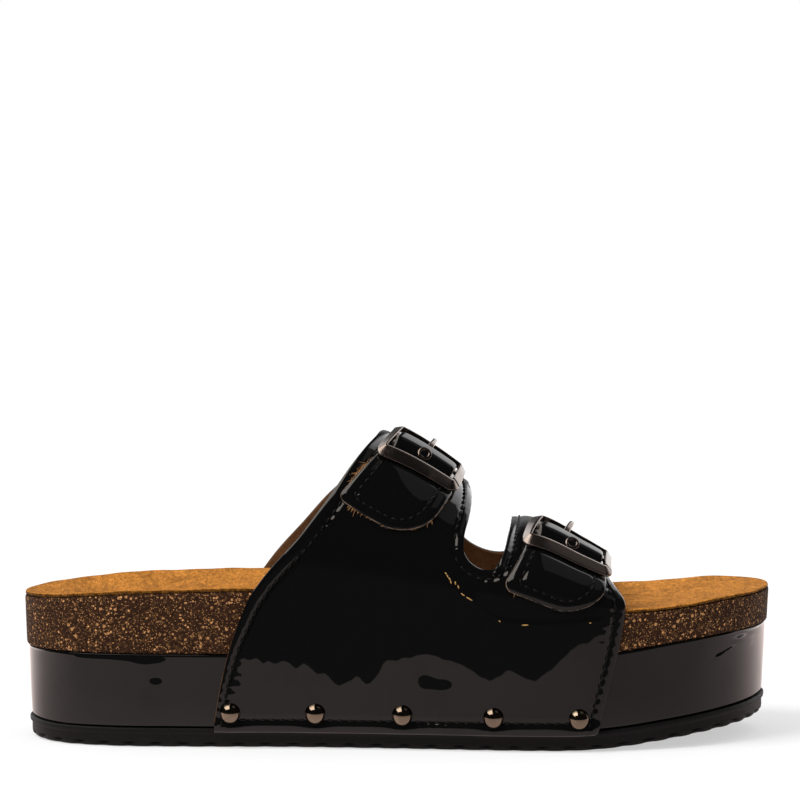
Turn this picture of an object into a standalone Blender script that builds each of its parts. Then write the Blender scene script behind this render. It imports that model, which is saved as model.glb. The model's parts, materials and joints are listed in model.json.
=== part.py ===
"""Two-strap platform slide sandal for the right foot, modelled in Blender.

The sandal stands on its outsole with the toe towards +X, the inner (medial) side of the foot
towards +Y and +Z up. Lengths below are millimetres and become metres where a mesh is made.
"""

import bmesh
import bpy
import numpy as np
from mathutils import Matrix, Vector

MM = 0.001
MERGE_DISTANCE = 1e-7
SHARP_ANGLE = np.radians(35.0)
FINE_POINTS = 1200

# Whole sandal
LENGTH = 258.0
HEEL_TIP_Y = 0.4
TOE_TIP_Y = 12.4
FIT_GAP = 0.3

# Plan of the sole: share of the length from the heel, half width outside and inside the foot
SOLE_PLAN = (
    (0.02, 16.6, 17.4),
    (0.06, 26.6, 26.9),
    (0.12, 32.6, 32.4),
    (0.22, 35.1, 33.9),
    (0.36, 36.1, 31.9),
    (0.50, 39.6, 33.9),
    (0.60, 43.1, 39.4),
    (0.68, 45.1, 43.4),
    (0.76, 44.6, 45.9),
    (0.84, 40.1, 45.9),
    (0.91, 31.1, 42.4),
    (0.96, 18.6, 35.9),
    (0.99, 2.6, 25.4),
)

# Side of the sole: place along the foot, top of the platform, cork rim, depth of the footbed's dish
SOLE_SIDE = (
    (-129.0, 31.3, 48.4, 3.5),
    (-100.0, 31.4, 51.0, 6.0),
    (-67.0, 31.4, 52.4, 6.0),
    (-20.0, 31.4, 52.4, 4.5),
    (30.0, 31.5, 49.4, 3.5),
    (72.0, 33.0, 46.1, 3.0),
    (96.0, 36.2, 47.4, 2.5),
    (113.0, 37.8, 49.2, 2.2),
    (129.0, 38.4, 50.0, 2.0),
)

# Outsole
OUTSOLE_TOP = 6.4
OUTSOLE_LIP = 2.0
LIP_INSET = 1.6
LIP_SLOPE = 0.3
TREAD_INSET = 2.3
TREAD_CHAMFER = 1.0
SPRING_START = 52.0
SPRING_STRAIGHT = 80.0
SPRING_SLOPE = 0.125
HEEL_BEVEL_START = -112.0
HEEL_BEVEL_RISE = 1.0
RIB_DEPTH = 1.3
RIB_REACH = 0.86
POINTS_PER_RIB = 3
RIBS_PER_SIDE = 33

# Platform, cork footbed and suede insole
PLATFORM_TOP_INSET = 1.2
PLATFORM_BOTTOM_INSET = 2.3
CORK_BOTTOM_INSET = 0.6
INSOLE_THICKNESS = 1.3
INSOLE_INSET = 0.2
DISH_RINGS = (1.0, 0.9, 0.7, 0.4, 0.0)
DISH_POWER = 2.4
ARCH_SUPPORT = 4.0
ARCH_SUPPORT_X = -18.0
ARCH_SUPPORT_LENGTH = 34.0
SPINE_HEEL_INSET = 31.0
SPINE_TOE_INSET = 40.0
SOLE_POINTS_PER_SIDE = 40

# Upper: ridge line over the instep, as place along the foot and height
INSTEP_RIDGE = (
    (-70.0, 142.5),
    (-40.0, 123.5),
    (-8.0, 104.2),
    (0.0, 100.8),
    (12.0, 93.6),
    (23.0, 85.4),
    (38.0, 73.2),
    (46.0, 72.6),
    (60.0, 65.6),
    (72.0, 58.6),
    (85.0, 53.0),
)
RIDGE_Y = 2.4
UPPER_WALL = 2.0
UPPER_BOTTOM = 5.0
UPPER_TAPER = 1.2
RIM_CLEARANCE = 2.0
WALL_SHARE = 0.58
ARCH_EASE = 1.2
ARCH_ROUNDNESS = 2.2

# Cut edges of the upper. Girth runs from 0 at the ridge over 0.58 at the footbed's rim to 1 at the
# outsole. Columns: girth, back of rear strap, front of rear strap, back of front strap, its front,
# then how much further forward the two back edges lie on the inner side of the foot
UPPER_EDGES = (
    (0.00, -6.5, 23.4, 38.6, 69.0, 0.0, 0.0),
    (0.10, -8.8, 24.2, 37.6, 68.8, 2.0, 1.5),
    (0.18, -12.4, 24.1, 36.6, 69.2, 3.2, 3.0),
    (0.26, -16.9, 23.3, 35.6, 70.4, 3.6, 4.8),
    (0.34, -22.2, 22.0, 34.2, 72.1, 2.4, 6.8),
    (0.38, -25.4, 21.8, 33.3, 73.1, 1.2, 7.6),
    (0.46, -32.9, 20.0, 31.5, 74.8, 0.0, 7.0),
    (0.58, -47.8, 18.0, 30.5, 75.5, 0.0, 5.0),
    (0.70, -54.6, 16.5, 30.0, 73.7, 0.0, 3.0),
    (0.85, -59.5, 15.0, 29.5, 70.2, 0.0, 1.5),
    (1.00, -62.5, 14.0, 29.0, 66.4, 0.0, 0.0),
)
INNER_SHIFT_COLUMN = {1: 5, 3: 6}
NOTCH_CORNER = 0.38
NOTCH_DEPTH = 0.06
ROWS_ABOVE_NOTCH = 7
ROWS_BELOW_NOTCH = 8
REAR_COLUMNS = 9
NOTCH_COLUMNS = 6
FRONT_COLUMNS = 8
ROW_SPREAD = 1.3

# Straps: first and last edge column, middle of the buckle as a share of the width, width, distance
# of the buckle from the ridge, its turn on the strap in radians; then for the tab its width, its
# reach below the buckle's middle, and how its lower end leans back and slants; then the prong's place
# across and the lift of its tip
STRAPS = {
    "rear": dict(first=1, last=2, middle=0.49, width=46.0, buckle=18.8, turn=0.08,
                 tab=31.5, drop=33.5, lean=0.08, slant=0.2, prong=0.0, tip_lift=5.9),
    "front": dict(first=3, last=4, middle=0.60, width=42.0, buckle=31.0, turn=0.18,
                  tab=30.0, drop=29.0, lean=0.10, slant=0.07, prong=-3.6, tip_lift=7.2),
}

# Part of the girth over which places on the straps are measured
STRAP_GIRTH_OUTER = 0.75
STRAP_GIRTH_INNER = 0.40
STRAP_SAMPLES = 231

# Buckle tabs
TAB_THICKNESS = 1.4
TAB_CORNER_BACK = 3.0
TAB_CORNER_FRONT = 13.5
NECK_WIDTH = 21.0
NECK_FLARE = 2.0
NECK_END = 6.0
HUMP_RISE = 4.4
HUMP_FLAT = 1.6
HUMP_FOOT = 7.0
TAB_COLUMNS = 6
NECK_ROWS = 3
SLOPE_ROWS = 5
FLARE_ROWS = 4
CORNER_ROWS = 6

# Buckles
FRAME_LENGTH = 33.5
FRAME_DEPTH = 22.0
FRAME_CORNER = 2.6
FRAME_BAR = 3.4
FRAME_END_BAR = 3.6
CENTRE_BAR = 2.5
FRAME_THICKNESS = 2.2
FRAME_LIFT = 2.2
FRAME_EDGE = 0.45
FRAME_COLUMNS = 7
FRAME_SHARP_ANGLE = np.radians(50.0)

# Prongs, eyelets and studs
PRONG_ROOT = -4.4
PRONG_TIP = -9.8
PRONG_ROOT_LIFT = 5.7
PRONG_ROOT_RADIUS = 1.1
PRONG_TIP_RADIUS = 0.75
PRONG_SIDES = 10
EYELET_PLACE = 4.2
EYELET_RADIUS = 1.9
EYELET_WIRE = 0.5
EYELET_SEGMENTS = 14
EYELET_WIRE_SIDES = 5
STUD_RADIUS = 3.5
STUD_HEIGHT = 2.5
STUD_GIRTH = 0.941
STUD_RINGS = 3
STUD_SEGMENTS = 14
STUD_PLACES = (-56.5, -27.8, 1.5, 31.9, 60.1)

# Colours (linear) with roughness and metallic value
FINISHES = {
    "black_rubber": ((0.012, 0.012, 0.012), 0.6, 0.0),
    "black_patent": ((0.004, 0.004, 0.004), 0.08, 0.0),
    "brown_cork": ((0.055, 0.030, 0.020), 0.8, 0.0),
    "tan_suede": ((0.50, 0.24, 0.055), 0.9, 0.0),
    "gunmetal": ((0.10, 0.09, 0.085), 0.3, 1.0),
}


def blend(stations, values, at):
    """Value between stations on a smooth cubic whose slopes are those of the neighbours."""
    stations = np.asarray(stations, float)
    values = np.asarray(values, float)
    at = np.clip(np.asarray(at, float), stations[0], stations[-1])
    slope = np.gradient(values, stations, axis=0)
    low = np.clip(np.searchsorted(stations, at, side="right") - 1, 0, len(stations) - 2)
    step = stations[low + 1] - stations[low]
    t = (at - stations[low]) / step
    if values.ndim == 2:
        step = step[..., None]
        t = t[..., None]
    level = values[low] * (1 + 2 * t) * (1 - t) ** 2 + values[low + 1] * t * t * (3 - 2 * t)
    return level + step * t * (1 - t) * (slope[low] * (1 - t) - slope[low + 1] * t)


def column(table, index):
    """One named column of a table of rows."""
    return np.array([row[index] for row in table], float)


def running_length(points):
    """Distance along a line of points, from its first."""
    steps = np.linalg.norm(np.diff(points, axis=0), axis=1)
    return np.concatenate([[0.0], np.cumsum(steps)])


def plan_sides(count):
    """Outer and inner side of the sole's plan, each evenly spaced from heel tip to toe tip."""
    places = (column(SOLE_PLAN, 0) - 0.5) * LENGTH
    lateral = list(zip(places, -column(SOLE_PLAN, 1)))
    medial = list(zip(places, column(SOLE_PLAN, 2)))
    heel = (-LENGTH / 2, HEEL_TIP_Y)
    toe = (LENGTH / 2, TOE_TIP_Y)
    loop = [heel] + lateral + [toe] + medial[::-1]
    lap = 3
    ring = np.array(loop[-lap:] + loop + loop[:lap + 1])
    run = running_length(ring)
    heel_run, toe_run, end_run = run[lap], run[lap + 1 + len(lateral)], run[lap + len(loop)]
    sides = []
    for start in (heel_run, end_run):
        line = blend(run, ring, np.linspace(start, toe_run, FINE_POINTS))
        length = running_length(line)
        even = np.linspace(0.0, length[-1], count)
        sides.append(np.stack([np.interp(even, length, line[:, axis]) for axis in (0, 1)], axis=1))
    return sides


FINE_LATERAL, FINE_MEDIAL = plan_sides(FINE_POINTS)


def half_width(x, side):
    """Half width of the sole at x, outside the foot where side is negative."""
    lateral = -np.interp(x, FINE_LATERAL[:, 0], FINE_LATERAL[:, 1])
    medial = np.interp(x, FINE_MEDIAL[:, 0], FINE_MEDIAL[:, 1])
    return np.where(side < 0, lateral, medial)


def ground(x):
    """Height of the tread: flat, with a toe spring in front and a small bevel at the heel."""
    curve = np.clip(x - SPRING_START, 0.0, SPRING_STRAIGHT - SPRING_START)
    straight = np.clip(x - SPRING_STRAIGHT, 0.0, None)
    spring = SPRING_SLOPE * (curve ** 2 / (2 * (SPRING_STRAIGHT - SPRING_START)) + straight)
    reach = LENGTH / 2 + HEEL_BEVEL_START
    heel = HEEL_BEVEL_RISE * np.clip((HEEL_BEVEL_START - x) / reach, 0.0, None) ** 2
    return spring + heel


def side_height(x, index):
    """Height at x from one column of the sole's side table."""
    return blend(column(SOLE_SIDE, 0), column(SOLE_SIDE, index), x)


def platform_top(x):
    """Height of the platform's top edge."""
    return side_height(x, 1)


def cork_rim(x):
    """Height of the footbed's upper edge."""
    return side_height(x, 2)


def sole_ring(count, scale, inset):
    """Closed plan ring, inset from the outline, then shrunk towards the sole's spine by scale.

    Columns of the result: x, y and 1 on the inner side of the foot or -1 on the outer side.
    """
    lateral, medial = plan_sides(count)
    loop = np.vstack([lateral, medial[-2:0:-1]])
    tangent = np.roll(loop, -1, axis=0) - np.roll(loop, 1, axis=0)
    tangent /= np.linalg.norm(tangent, axis=1)[:, None]
    outward = np.stack([tangent[:, 1], -tangent[:, 0]], axis=1)
    loop = loop - inset * outward
    middle_x = (lateral[:, 0] + medial[:, 0]) / 2
    spine_x = np.clip(middle_x, SPINE_HEEL_INSET - LENGTH / 2, LENGTH / 2 - SPINE_TOE_INSET)
    spine_y = (half_width(spine_x, 1) - half_width(spine_x, -1)) / 2
    spine = np.stack([spine_x, spine_y], axis=1)
    spine = np.vstack([spine, spine[-2:0:-1]])
    side = np.concatenate([-np.ones(count), np.ones(count - 2)])
    return np.column_stack([spine + scale * (loop - spine), side])


def make_material(name):
    """Principled material from the table of finishes."""
    material = bpy.data.materials.get(name)
    if material:
        return material
    colour, roughness, metallic = FINISHES[name]
    material = bpy.data.materials.new(name)
    material.use_nodes = True
    shader = material.node_tree.nodes["Principled BSDF"]
    shader.inputs["Base Color"].default_value = (*colour, 1.0)
    shader.inputs["Roughness"].default_value = roughness
    shader.inputs["Metallic"].default_value = metallic
    return material


def make_object(name, mesh, finish, collection):
    """Named object with its own material, shaded smooth except at sharp edges."""
    mesh.materials.append(make_material(finish))
    mesh.shade_smooth()
    mesh.set_sharp_from_angle(angle=SHARP_ANGLE)
    part = bpy.data.objects.new(name, mesh)
    collection.objects.link(part)
    return part


def mesh_from(name, points, faces):
    """Closed mesh in metres from points in millimetres, doubles merged and faces turned outwards."""
    mesh = bpy.data.meshes.new(name)
    mesh.from_pydata((np.asarray(points) * MM).tolist(), [], [tuple(map(int, face)) for face in faces])
    shape = bmesh.new()
    shape.from_mesh(mesh)
    bmesh.ops.remove_doubles(shape, verts=shape.verts, dist=MERGE_DISTANCE)
    bmesh.ops.recalc_face_normals(shape, faces=shape.faces)
    shape.to_mesh(mesh)
    shape.free()
    return mesh


def make_sheet(name, points, keep, thickness, finish, collection):
    """Object from the kept cells of a grid of points, thickened outwards.

    Columns of the grid run towards the toe and rows from the outer to the inner side of the foot,
    so that the faces point out of the shoe.
    """
    rows, columns = points.shape[:2]
    index = np.arange(rows * columns).reshape(rows, columns)
    quads = np.stack([index[:-1, :-1], index[:-1, 1:], index[1:, 1:], index[1:, :-1]], axis=-1)[keep]
    used = np.unique(quads)
    renumber = np.zeros(index.size, int)
    renumber[used] = np.arange(len(used))
    mesh = bpy.data.meshes.new(name)
    mesh.from_pydata((points.reshape(-1, 3)[used] * MM).tolist(), [], renumber[quads].tolist())
    part = make_object(name, mesh, finish, collection)
    wall = part.modifiers.new("Wall", "SOLIDIFY")
    wall.thickness = thickness * MM
    wall.offset = 1.0
    wall.use_even_offset = True
    return part


def loft_rings(name, rings):
    """Closed solid over a stack of equal rings whose first and last lie on the sole's spine."""
    count = len(rings[0])
    here = np.arange(count)
    following = np.roll(here, -1)
    faces = []
    for low in range(len(rings) - 1):
        a = low * count
        b = a + count
        faces.extend(np.stack([a + here, a + following, b + following, b + here], axis=1))
    return mesh_from(name, np.vstack(rings), faces)


def level_ring(ring, height):
    """Ring of points at the given heights."""
    return np.column_stack([ring[:, :2], np.broadcast_to(height, len(ring))])


def make_outsole(collection):
    """Rubber outsole: ribbed tread edge, a step under the lip, the lip and a flat top."""
    count = POINTS_PER_RIB * RIBS_PER_SIDE + 1
    centre = sole_ring(count, 0.0, TREAD_INSET)
    tread = sole_ring(count, RIB_REACH, TREAD_INSET)
    edge = sole_ring(count, 1.0, TREAD_INSET + TREAD_CHAMFER)
    wall = sole_ring(count, 1.0, TREAD_INSET)
    lip = sole_ring(count, 1.0, LIP_INSET)
    rib = np.where(np.arange(len(edge)) % POINTS_PER_RIB == 0, RIB_DEPTH, 0.0)
    step = OUTSOLE_TOP - OUTSOLE_LIP
    rings = [
        level_ring(centre, ground(centre[:, 0])),
        level_ring(tread, ground(tread[:, 0])),
        level_ring(edge, ground(edge[:, 0]) + rib),
        level_ring(wall, ground(wall[:, 0]) + TREAD_CHAMFER + rib),
        level_ring(wall, ground(wall[:, 0]) + step - LIP_SLOPE),
        level_ring(lip, ground(lip[:, 0]) + step + LIP_SLOPE),
        level_ring(lip, ground(lip[:, 0]) + OUTSOLE_TOP),
        level_ring(centre, ground(centre[:, 0]) + OUTSOLE_TOP),
    ]
    return make_object("outsole", loft_rings("outsole", rings), "black_rubber", collection)


def make_platform(collection):
    """Patent-wrapped platform block between outsole and footbed."""
    count = SOLE_POINTS_PER_SIDE
    centre = sole_ring(count, 0.0, PLATFORM_BOTTOM_INSET)
    bottom = sole_ring(count, 1.0, PLATFORM_BOTTOM_INSET)
    middle = sole_ring(count, 1.0, (PLATFORM_BOTTOM_INSET + PLATFORM_TOP_INSET) / 2)
    top = sole_ring(count, 1.0, PLATFORM_TOP_INSET)
    base = OUTSOLE_TOP + FIT_GAP

    def between(ring, share):
        low = ground(ring[:, 0]) + base
        return level_ring(ring, low + share * (platform_top(ring[:, 0]) - low))

    rings = [between(centre, 0.0), between(bottom, 0.0), between(middle, 0.5), between(top, 1.0),
             between(centre, 1.0)]
    return make_object("platform", loft_rings("platform", rings), "black_patent", collection)


def footbed_height(ring, scale):
    """Dished top of the cork: rim height less the dish, with a swell under the arch of the foot."""
    x = ring[:, 0]
    dish = side_height(x, 3) * (1.0 - scale ** DISH_POWER)
    along = np.exp(-((x - ARCH_SUPPORT_X) / ARCH_SUPPORT_LENGTH) ** 2)
    swell = ARCH_SUPPORT * along * np.clip(ring[:, 2], 0.0, 1.0) * 4.0 * scale ** 2 * (1.0 - scale)
    return cork_rim(x) - dish + swell


def dished_rings(inset, lift):
    """Rings of the footbed's top surface, from the rim in to the spine."""
    rings = []
    for scale in DISH_RINGS:
        ring = sole_ring(SOLE_POINTS_PER_SIDE, scale, inset)
        rings.append(level_ring(ring, footbed_height(ring, scale) + lift))
    return rings


def make_footbed(collection):
    """Cork footbed: flat below, upright side, dished on top."""
    count = SOLE_POINTS_PER_SIDE
    centre = sole_ring(count, 0.0, CORK_BOTTOM_INSET)
    bottom = sole_ring(count, 1.0, CORK_BOTTOM_INSET)
    middle = sole_ring(count, 1.0, CORK_BOTTOM_INSET / 2)
    low = platform_top(bottom[:, 0]) + FIT_GAP
    rings = [level_ring(centre, platform_top(centre[:, 0]) + FIT_GAP),
             level_ring(bottom, low),
             level_ring(middle, (low + cork_rim(middle[:, 0])) / 2)]
    rings += dished_rings(0.0, 0.0)
    return make_object("footbed_cork", loft_rings("footbed_cork", rings), "brown_cork", collection)


def make_insole(collection):
    """Suede insole lying in the dish of the footbed, out to its rim."""
    lower = dished_rings(INSOLE_INSET, FIT_GAP)
    upper = dished_rings(INSOLE_INSET, FIT_GAP + INSOLE_THICKNESS)
    rings = lower[::-1] + upper
    return make_object("insole_suede", loft_rings("insole_suede", rings), "tan_suede", collection)


def last_surface(x, q):
    """Inner face of the upper: x along the foot, q from -1 outside over 0 at the ridge to 1 inside.

    Each cross-section is an upright wall beside the sole, then half of a superellipse over the foot.
    """
    side = np.where(q < 0, -1.0, 1.0)
    girth = np.abs(q)
    ridge = blend(column(INSTEP_RIDGE, 0), column(INSTEP_RIDGE, 1), x)
    rim = cork_rim(x) + RIM_CLEARANCE
    half = half_width(x, side) + FIT_GAP
    climb = np.clip((1.0 - girth) / (1.0 - WALL_SHARE), 0.0, 1.0)
    angle = np.clip(1.0 - girth / WALL_SHARE, 0.0, 1.0) ** ARCH_EASE * np.pi / 2
    power = 2.0 / ARCH_ROUNDNESS
    out = np.cos(angle) ** power
    up = np.sin(angle) ** power
    wall = UPPER_BOTTOM + ground(x) + (rim - UPPER_BOTTOM - ground(x)) * climb
    z = np.where(girth > WALL_SHARE, wall, rim + (ridge - rim) * up)
    y = side * half * out + RIDGE_Y * (1.0 - out) - side * UPPER_TAPER * (1.0 - climb)
    return np.stack(np.broadcast_arrays(x, y, z), axis=-1)


def upper_surface(x, q, lift):
    """Point at a distance outside the upper's inner face, along its normal."""
    step_x = 0.5
    step_q = 0.004
    along = last_surface(x + step_x, q) - last_surface(x - step_x, q)
    around = last_surface(x, np.minimum(q + step_q, 1.0)) - last_surface(x, np.maximum(q - step_q, -1.0))
    normal = np.cross(along, around)
    normal /= np.linalg.norm(normal, axis=-1)[..., None]
    return last_surface(x, q) + np.asarray(lift)[..., None] * normal


def edge_at(q, index):
    """Place along the foot of one cut edge of the upper, with its shift on the inner side of the foot."""
    girth = np.abs(q)
    place = blend(column(UPPER_EDGES, 0), column(UPPER_EDGES, index), girth)
    if index in INNER_SHIFT_COLUMN:
        shift = blend(column(UPPER_EDGES, 0), column(UPPER_EDGES, INNER_SHIFT_COLUMN[index]), girth)
        place = place + np.where(q > 0, shift, 0.0)
    return place


def make_upper(collection):
    """One leather shell: two side panels joined over the foot by the rear and the front strap."""
    above = np.linspace(0.0, NOTCH_CORNER, ROWS_ABOVE_NOTCH + 1)
    below = NOTCH_CORNER + (1.0 - NOTCH_CORNER) * np.linspace(0.0, 1.0, ROWS_BELOW_NOTCH + 1) ** ROW_SPREAD
    half = np.concatenate([above, below[1:]])
    q = np.concatenate([-half[::-1], half[1:]])
    girth = np.abs(q)[:, None]
    back, rear_front, front_back, front_edge = (edge_at(q[:, None], index) for index in (1, 2, 3, 4))
    rear = back + (rear_front - back) * np.linspace(0, 1, REAR_COLUMNS + 1)
    front = front_back + (front_edge - front_back) * np.linspace(0, 1, FRONT_COLUMNS + 1)
    turn = np.linspace(0.0, np.pi, NOTCH_COLUMNS + 1)[1:-1]
    notch = rear_front + (front_back - rear_front) * (1 - np.cos(turn)) / 2
    x = np.hstack([rear, notch, front])
    dip = np.zeros(x.shape[1])
    dip[REAR_COLUMNS + 1:REAR_COLUMNS + NOTCH_COLUMNS] = NOTCH_DEPTH * np.sin(turn)
    fade = np.clip((1.0 - girth) / (1.0 - NOTCH_CORNER), 0.0, 1.0)
    grid_q = np.sign(q)[:, None] * (girth + dip * fade)
    points = upper_surface(x, grid_q, np.zeros_like(x))

    keep = np.ones((len(q) - 1, x.shape[1] - 1), bool)
    opening = slice(ROWS_BELOW_NOTCH, ROWS_BELOW_NOTCH + 2 * ROWS_ABOVE_NOTCH)
    keep[opening, REAR_COLUMNS:REAR_COLUMNS + NOTCH_COLUMNS] = False
    return make_sheet("upper", points, keep, UPPER_WALL, "black_patent", collection)


def strap_point(strap, across, along, lift):
    """Point on a strap, measured from the middle of its buckle: across towards the toe, along down
    the outer side, and lift outwards from the leather."""
    q = np.linspace(-STRAP_GIRTH_OUTER, STRAP_GIRTH_INNER, STRAP_SAMPLES)

    def place(at, share):
        first = edge_at(at, strap["first"])
        return first + (edge_at(at, strap["last"]) - first) * share

    middle = strap["middle"]
    line = upper_surface(place(q, middle), q, np.full(len(q), UPPER_WALL))
    run = running_length(line)
    run = np.interp(0.0, q, run) - run
    cos, sin = np.cos(strap["turn"]), np.sin(strap["turn"])
    down = strap["buckle"] + along * cos + across * sin
    at = np.interp(-down, -run, q)
    share = middle + (across * cos - along * sin) / strap["width"]
    return upper_surface(place(at, share), at, UPPER_WALL + lift)


def hump(along):
    """Rise of a tab's neck over the centre bar: flat over the bar, easing down to both sides."""
    t = np.clip((np.abs(along) - HUMP_FLAT) / (HUMP_FOOT - HUMP_FLAT), 0.0, 1.0)
    return HUMP_RISE * (1.0 - t * t * (3.0 - 2.0 * t))


def tab_grid(strap):
    """Places across and along a tab: narrow neck, flare under the near bar, rounded lower end."""
    half_frame = FRAME_DEPTH / 2
    drop = strap["drop"]
    slope = np.linspace(HUMP_FLAT, HUMP_FOOT, SLOPE_ROWS)
    end = np.linspace(-half_frame - NECK_END, -HUMP_FOOT, NECK_ROWS, endpoint=False)
    neck = np.concatenate([end, -slope[::-1], slope])
    flare = np.linspace(half_frame - FRAME_BAR, half_frame, FLARE_ROWS)
    body = np.linspace(half_frame, drop - TAB_CORNER_FRONT, 3)[1:]
    turn = np.sin(np.linspace(0.0, np.pi / 2, CORNER_ROWS + 1))[1:]
    along = np.concatenate([neck, flare, body, drop - TAB_CORNER_FRONT * (1.0 - turn)])
    widen = np.clip((along - half_frame + FRAME_BAR) / NECK_FLARE, 0.0, 1.0)
    half = NECK_WIDTH / 2 + (strap["tab"] - NECK_WIDTH) / 2 * widen

    def corner(radius):
        past = np.clip((along - drop + radius) / radius, 0.0, 1.0)
        return radius * (1.0 - np.sqrt(1.0 - past ** 2))

    back = -half + corner(TAB_CORNER_BACK)
    front = half - corner(TAB_CORNER_FRONT)
    share = np.linspace(0.0, 1.0, TAB_COLUMNS + 1)
    across = back[:, None] + (front - back)[:, None] * share
    below = np.clip(along - half_frame, 0.0, None)[:, None]
    slanted = along[:, None] + strap["slant"] * across * below / (drop - half_frame)
    return across - strap["lean"] * below, slanted


def make_tab(name, strap, collection):
    """Patent tab sewn to the strap, its neck threaded through the buckle."""
    across, along = tab_grid(strap)
    points = strap_point(strap, across, along, FIT_GAP + hump(along))[::-1]
    keep = np.ones((points.shape[0] - 1, points.shape[1] - 1), bool)
    return make_sheet(name, points, keep, TAB_THICKNESS, "black_patent", collection)


def make_buckle(name, strap, collection):
    """Rectangular buckle with a centre bar and round corners, curved with the strap under it."""
    half_length = FRAME_LENGTH / 2
    half_depth = FRAME_DEPTH / 2
    inner_length = half_length - FRAME_END_BAR
    inner_depth = half_depth - FRAME_BAR
    inside = np.linspace(-inner_length, inner_length, FRAME_COLUMNS + 1)
    ends = np.array([half_length - FRAME_CORNER, half_length])
    columns = np.concatenate([-ends[::-1], inside, ends])
    bars = np.array([CENTRE_BAR / 2, inner_depth / 2, inner_depth, half_depth - FRAME_CORNER / 2, half_depth])
    rows = np.concatenate([bars[::-1], -bars])
    across, along = np.meshgrid(columns, rows)
    round_off = FRAME_CORNER * (1.0 - np.sqrt(0.5))
    corner = (np.abs(across) == half_length) & (np.abs(along) == half_depth)
    across = across - np.sign(across) * round_off * corner
    along = along - np.sign(along) * round_off * corner
    points = strap_point(strap, across, along, np.full(across.shape, FRAME_LIFT))
    middle_x = np.abs(columns[:-1] + columns[1:]) / 2
    middle_y = np.abs(rows[:-1] + rows[1:]) / 2
    in_window = (middle_y > CENTRE_BAR / 2) & (middle_y < inner_depth)
    keep = ~(in_window[:, None] & (middle_x < inner_length))
    buckle = make_sheet(name, points, keep, FRAME_THICKNESS, "gunmetal", collection)
    round_edges = buckle.modifiers.new("Round edges", "BEVEL")
    round_edges.width = FRAME_EDGE * MM
    round_edges.segments = 1
    round_edges.angle_limit = FRAME_SHARP_ANGLE
    return buckle


def strap_spot(strap, across, along, lift):
    """One point on a strap, measured from the middle of its buckle."""
    return Vector(strap_point(strap, np.array([across]), np.array([along]), np.array([lift]))[0])


def make_prong(name, strap, collection):
    """Tapered pin that leaves the neck behind the centre bar and stands over the far bar."""
    root = strap_spot(strap, strap["prong"], PRONG_ROOT, PRONG_ROOT_LIFT) * MM
    tip = strap_spot(strap, strap["prong"], PRONG_TIP, strap["tip_lift"]) * MM
    shape = bmesh.new()
    bmesh.ops.create_cone(shape, cap_ends=True, segments=PRONG_SIDES, radius1=PRONG_ROOT_RADIUS * MM,
                          radius2=PRONG_TIP_RADIUS * MM, depth=(tip - root).length)
    mesh = bpy.data.meshes.new(name)
    shape.to_mesh(mesh)
    shape.free()
    prong = make_object(name, mesh, "gunmetal", collection)
    lean = (tip - root).to_track_quat("Z", "Y").to_matrix().to_4x4()
    prong.matrix_world = Matrix.Translation((root + tip) / 2) @ lean
    return prong


def make_eyelet(name, strap, collection):
    """Small metal ring round the hole in the neck, on the near slope of its hump."""
    def on_neck(across, along):
        return strap_spot(strap, across, along, FIT_GAP + hump(along))

    reach = EYELET_RADIUS
    across = (on_neck(reach, EYELET_PLACE) - on_neck(-reach, EYELET_PLACE)).normalized()
    down = on_neck(0.0, EYELET_PLACE + reach) - on_neck(0.0, EYELET_PLACE - reach)
    out = down.cross(across).normalized()
    if out.z < 0:
        out = -out
    centre = on_neck(0.0, EYELET_PLACE) + out * (TAB_THICKNESS + EYELET_WIRE + FIT_GAP)
    turn = Matrix((across, out.cross(across), out)).transposed().to_4x4()
    bpy.ops.mesh.primitive_torus_add(major_radius=EYELET_RADIUS * MM, minor_radius=EYELET_WIRE * MM,
                                     major_segments=EYELET_SEGMENTS, minor_segments=EYELET_WIRE_SIDES)
    draft = bpy.context.object
    mesh = draft.data
    bpy.data.objects.remove(draft)
    mesh.materials.clear()
    eyelet = make_object(name, mesh, "gunmetal", collection)
    eyelet.matrix_world = Matrix.Translation(centre * MM) @ turn
    return eyelet


def stud_profile(name):
    """Half section of a domed stud, from the top of its dome over the rim to the middle of its back."""
    radius = (STUD_RADIUS ** 2 + STUD_HEIGHT ** 2) / (2 * STUD_HEIGHT)
    angle = np.linspace(0.0, np.arcsin(STUD_RADIUS / radius), STUD_RINGS + 1)
    dome = [(radius * np.sin(a), 0.0, radius * (np.cos(a) - 1.0) + STUD_HEIGHT) for a in angle]
    points = np.array(dome + [(0.0, 0.0, 0.0)]) * MM
    mesh = bpy.data.meshes.new(name)
    mesh.from_pydata(points.tolist(), [(i, i + 1) for i in range(len(points) - 1)], [])
    return mesh


def make_studs(collection):
    """A row of domed studs along the foot of each side panel."""
    for side, side_name in ((-1, "outer"), (1, "inner")):
        for number, x in enumerate(STUD_PLACES, start=1):
            name = f"stud_{side_name}_{number}"
            stud = make_object(name, stud_profile(name), "gunmetal", collection)
            turned = stud.modifiers.new("Turned", "SCREW")
            turned.steps = STUD_SEGMENTS
            turned.render_steps = STUD_SEGMENTS
            turned.use_merge_vertices = True
            turned.merge_threshold = MERGE_DISTANCE
            spot = np.array([x]), np.array([side * STUD_GIRTH])
            seat = Vector(upper_surface(*spot, np.array([UPPER_WALL + FIT_GAP]))[0])
            out = seat - Vector(upper_surface(*spot, np.zeros(1))[0])
            turn = out.to_track_quat("Z", "Y").to_matrix().to_4x4()
            stud.matrix_world = Matrix.Translation(seat * MM) @ turn


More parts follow.
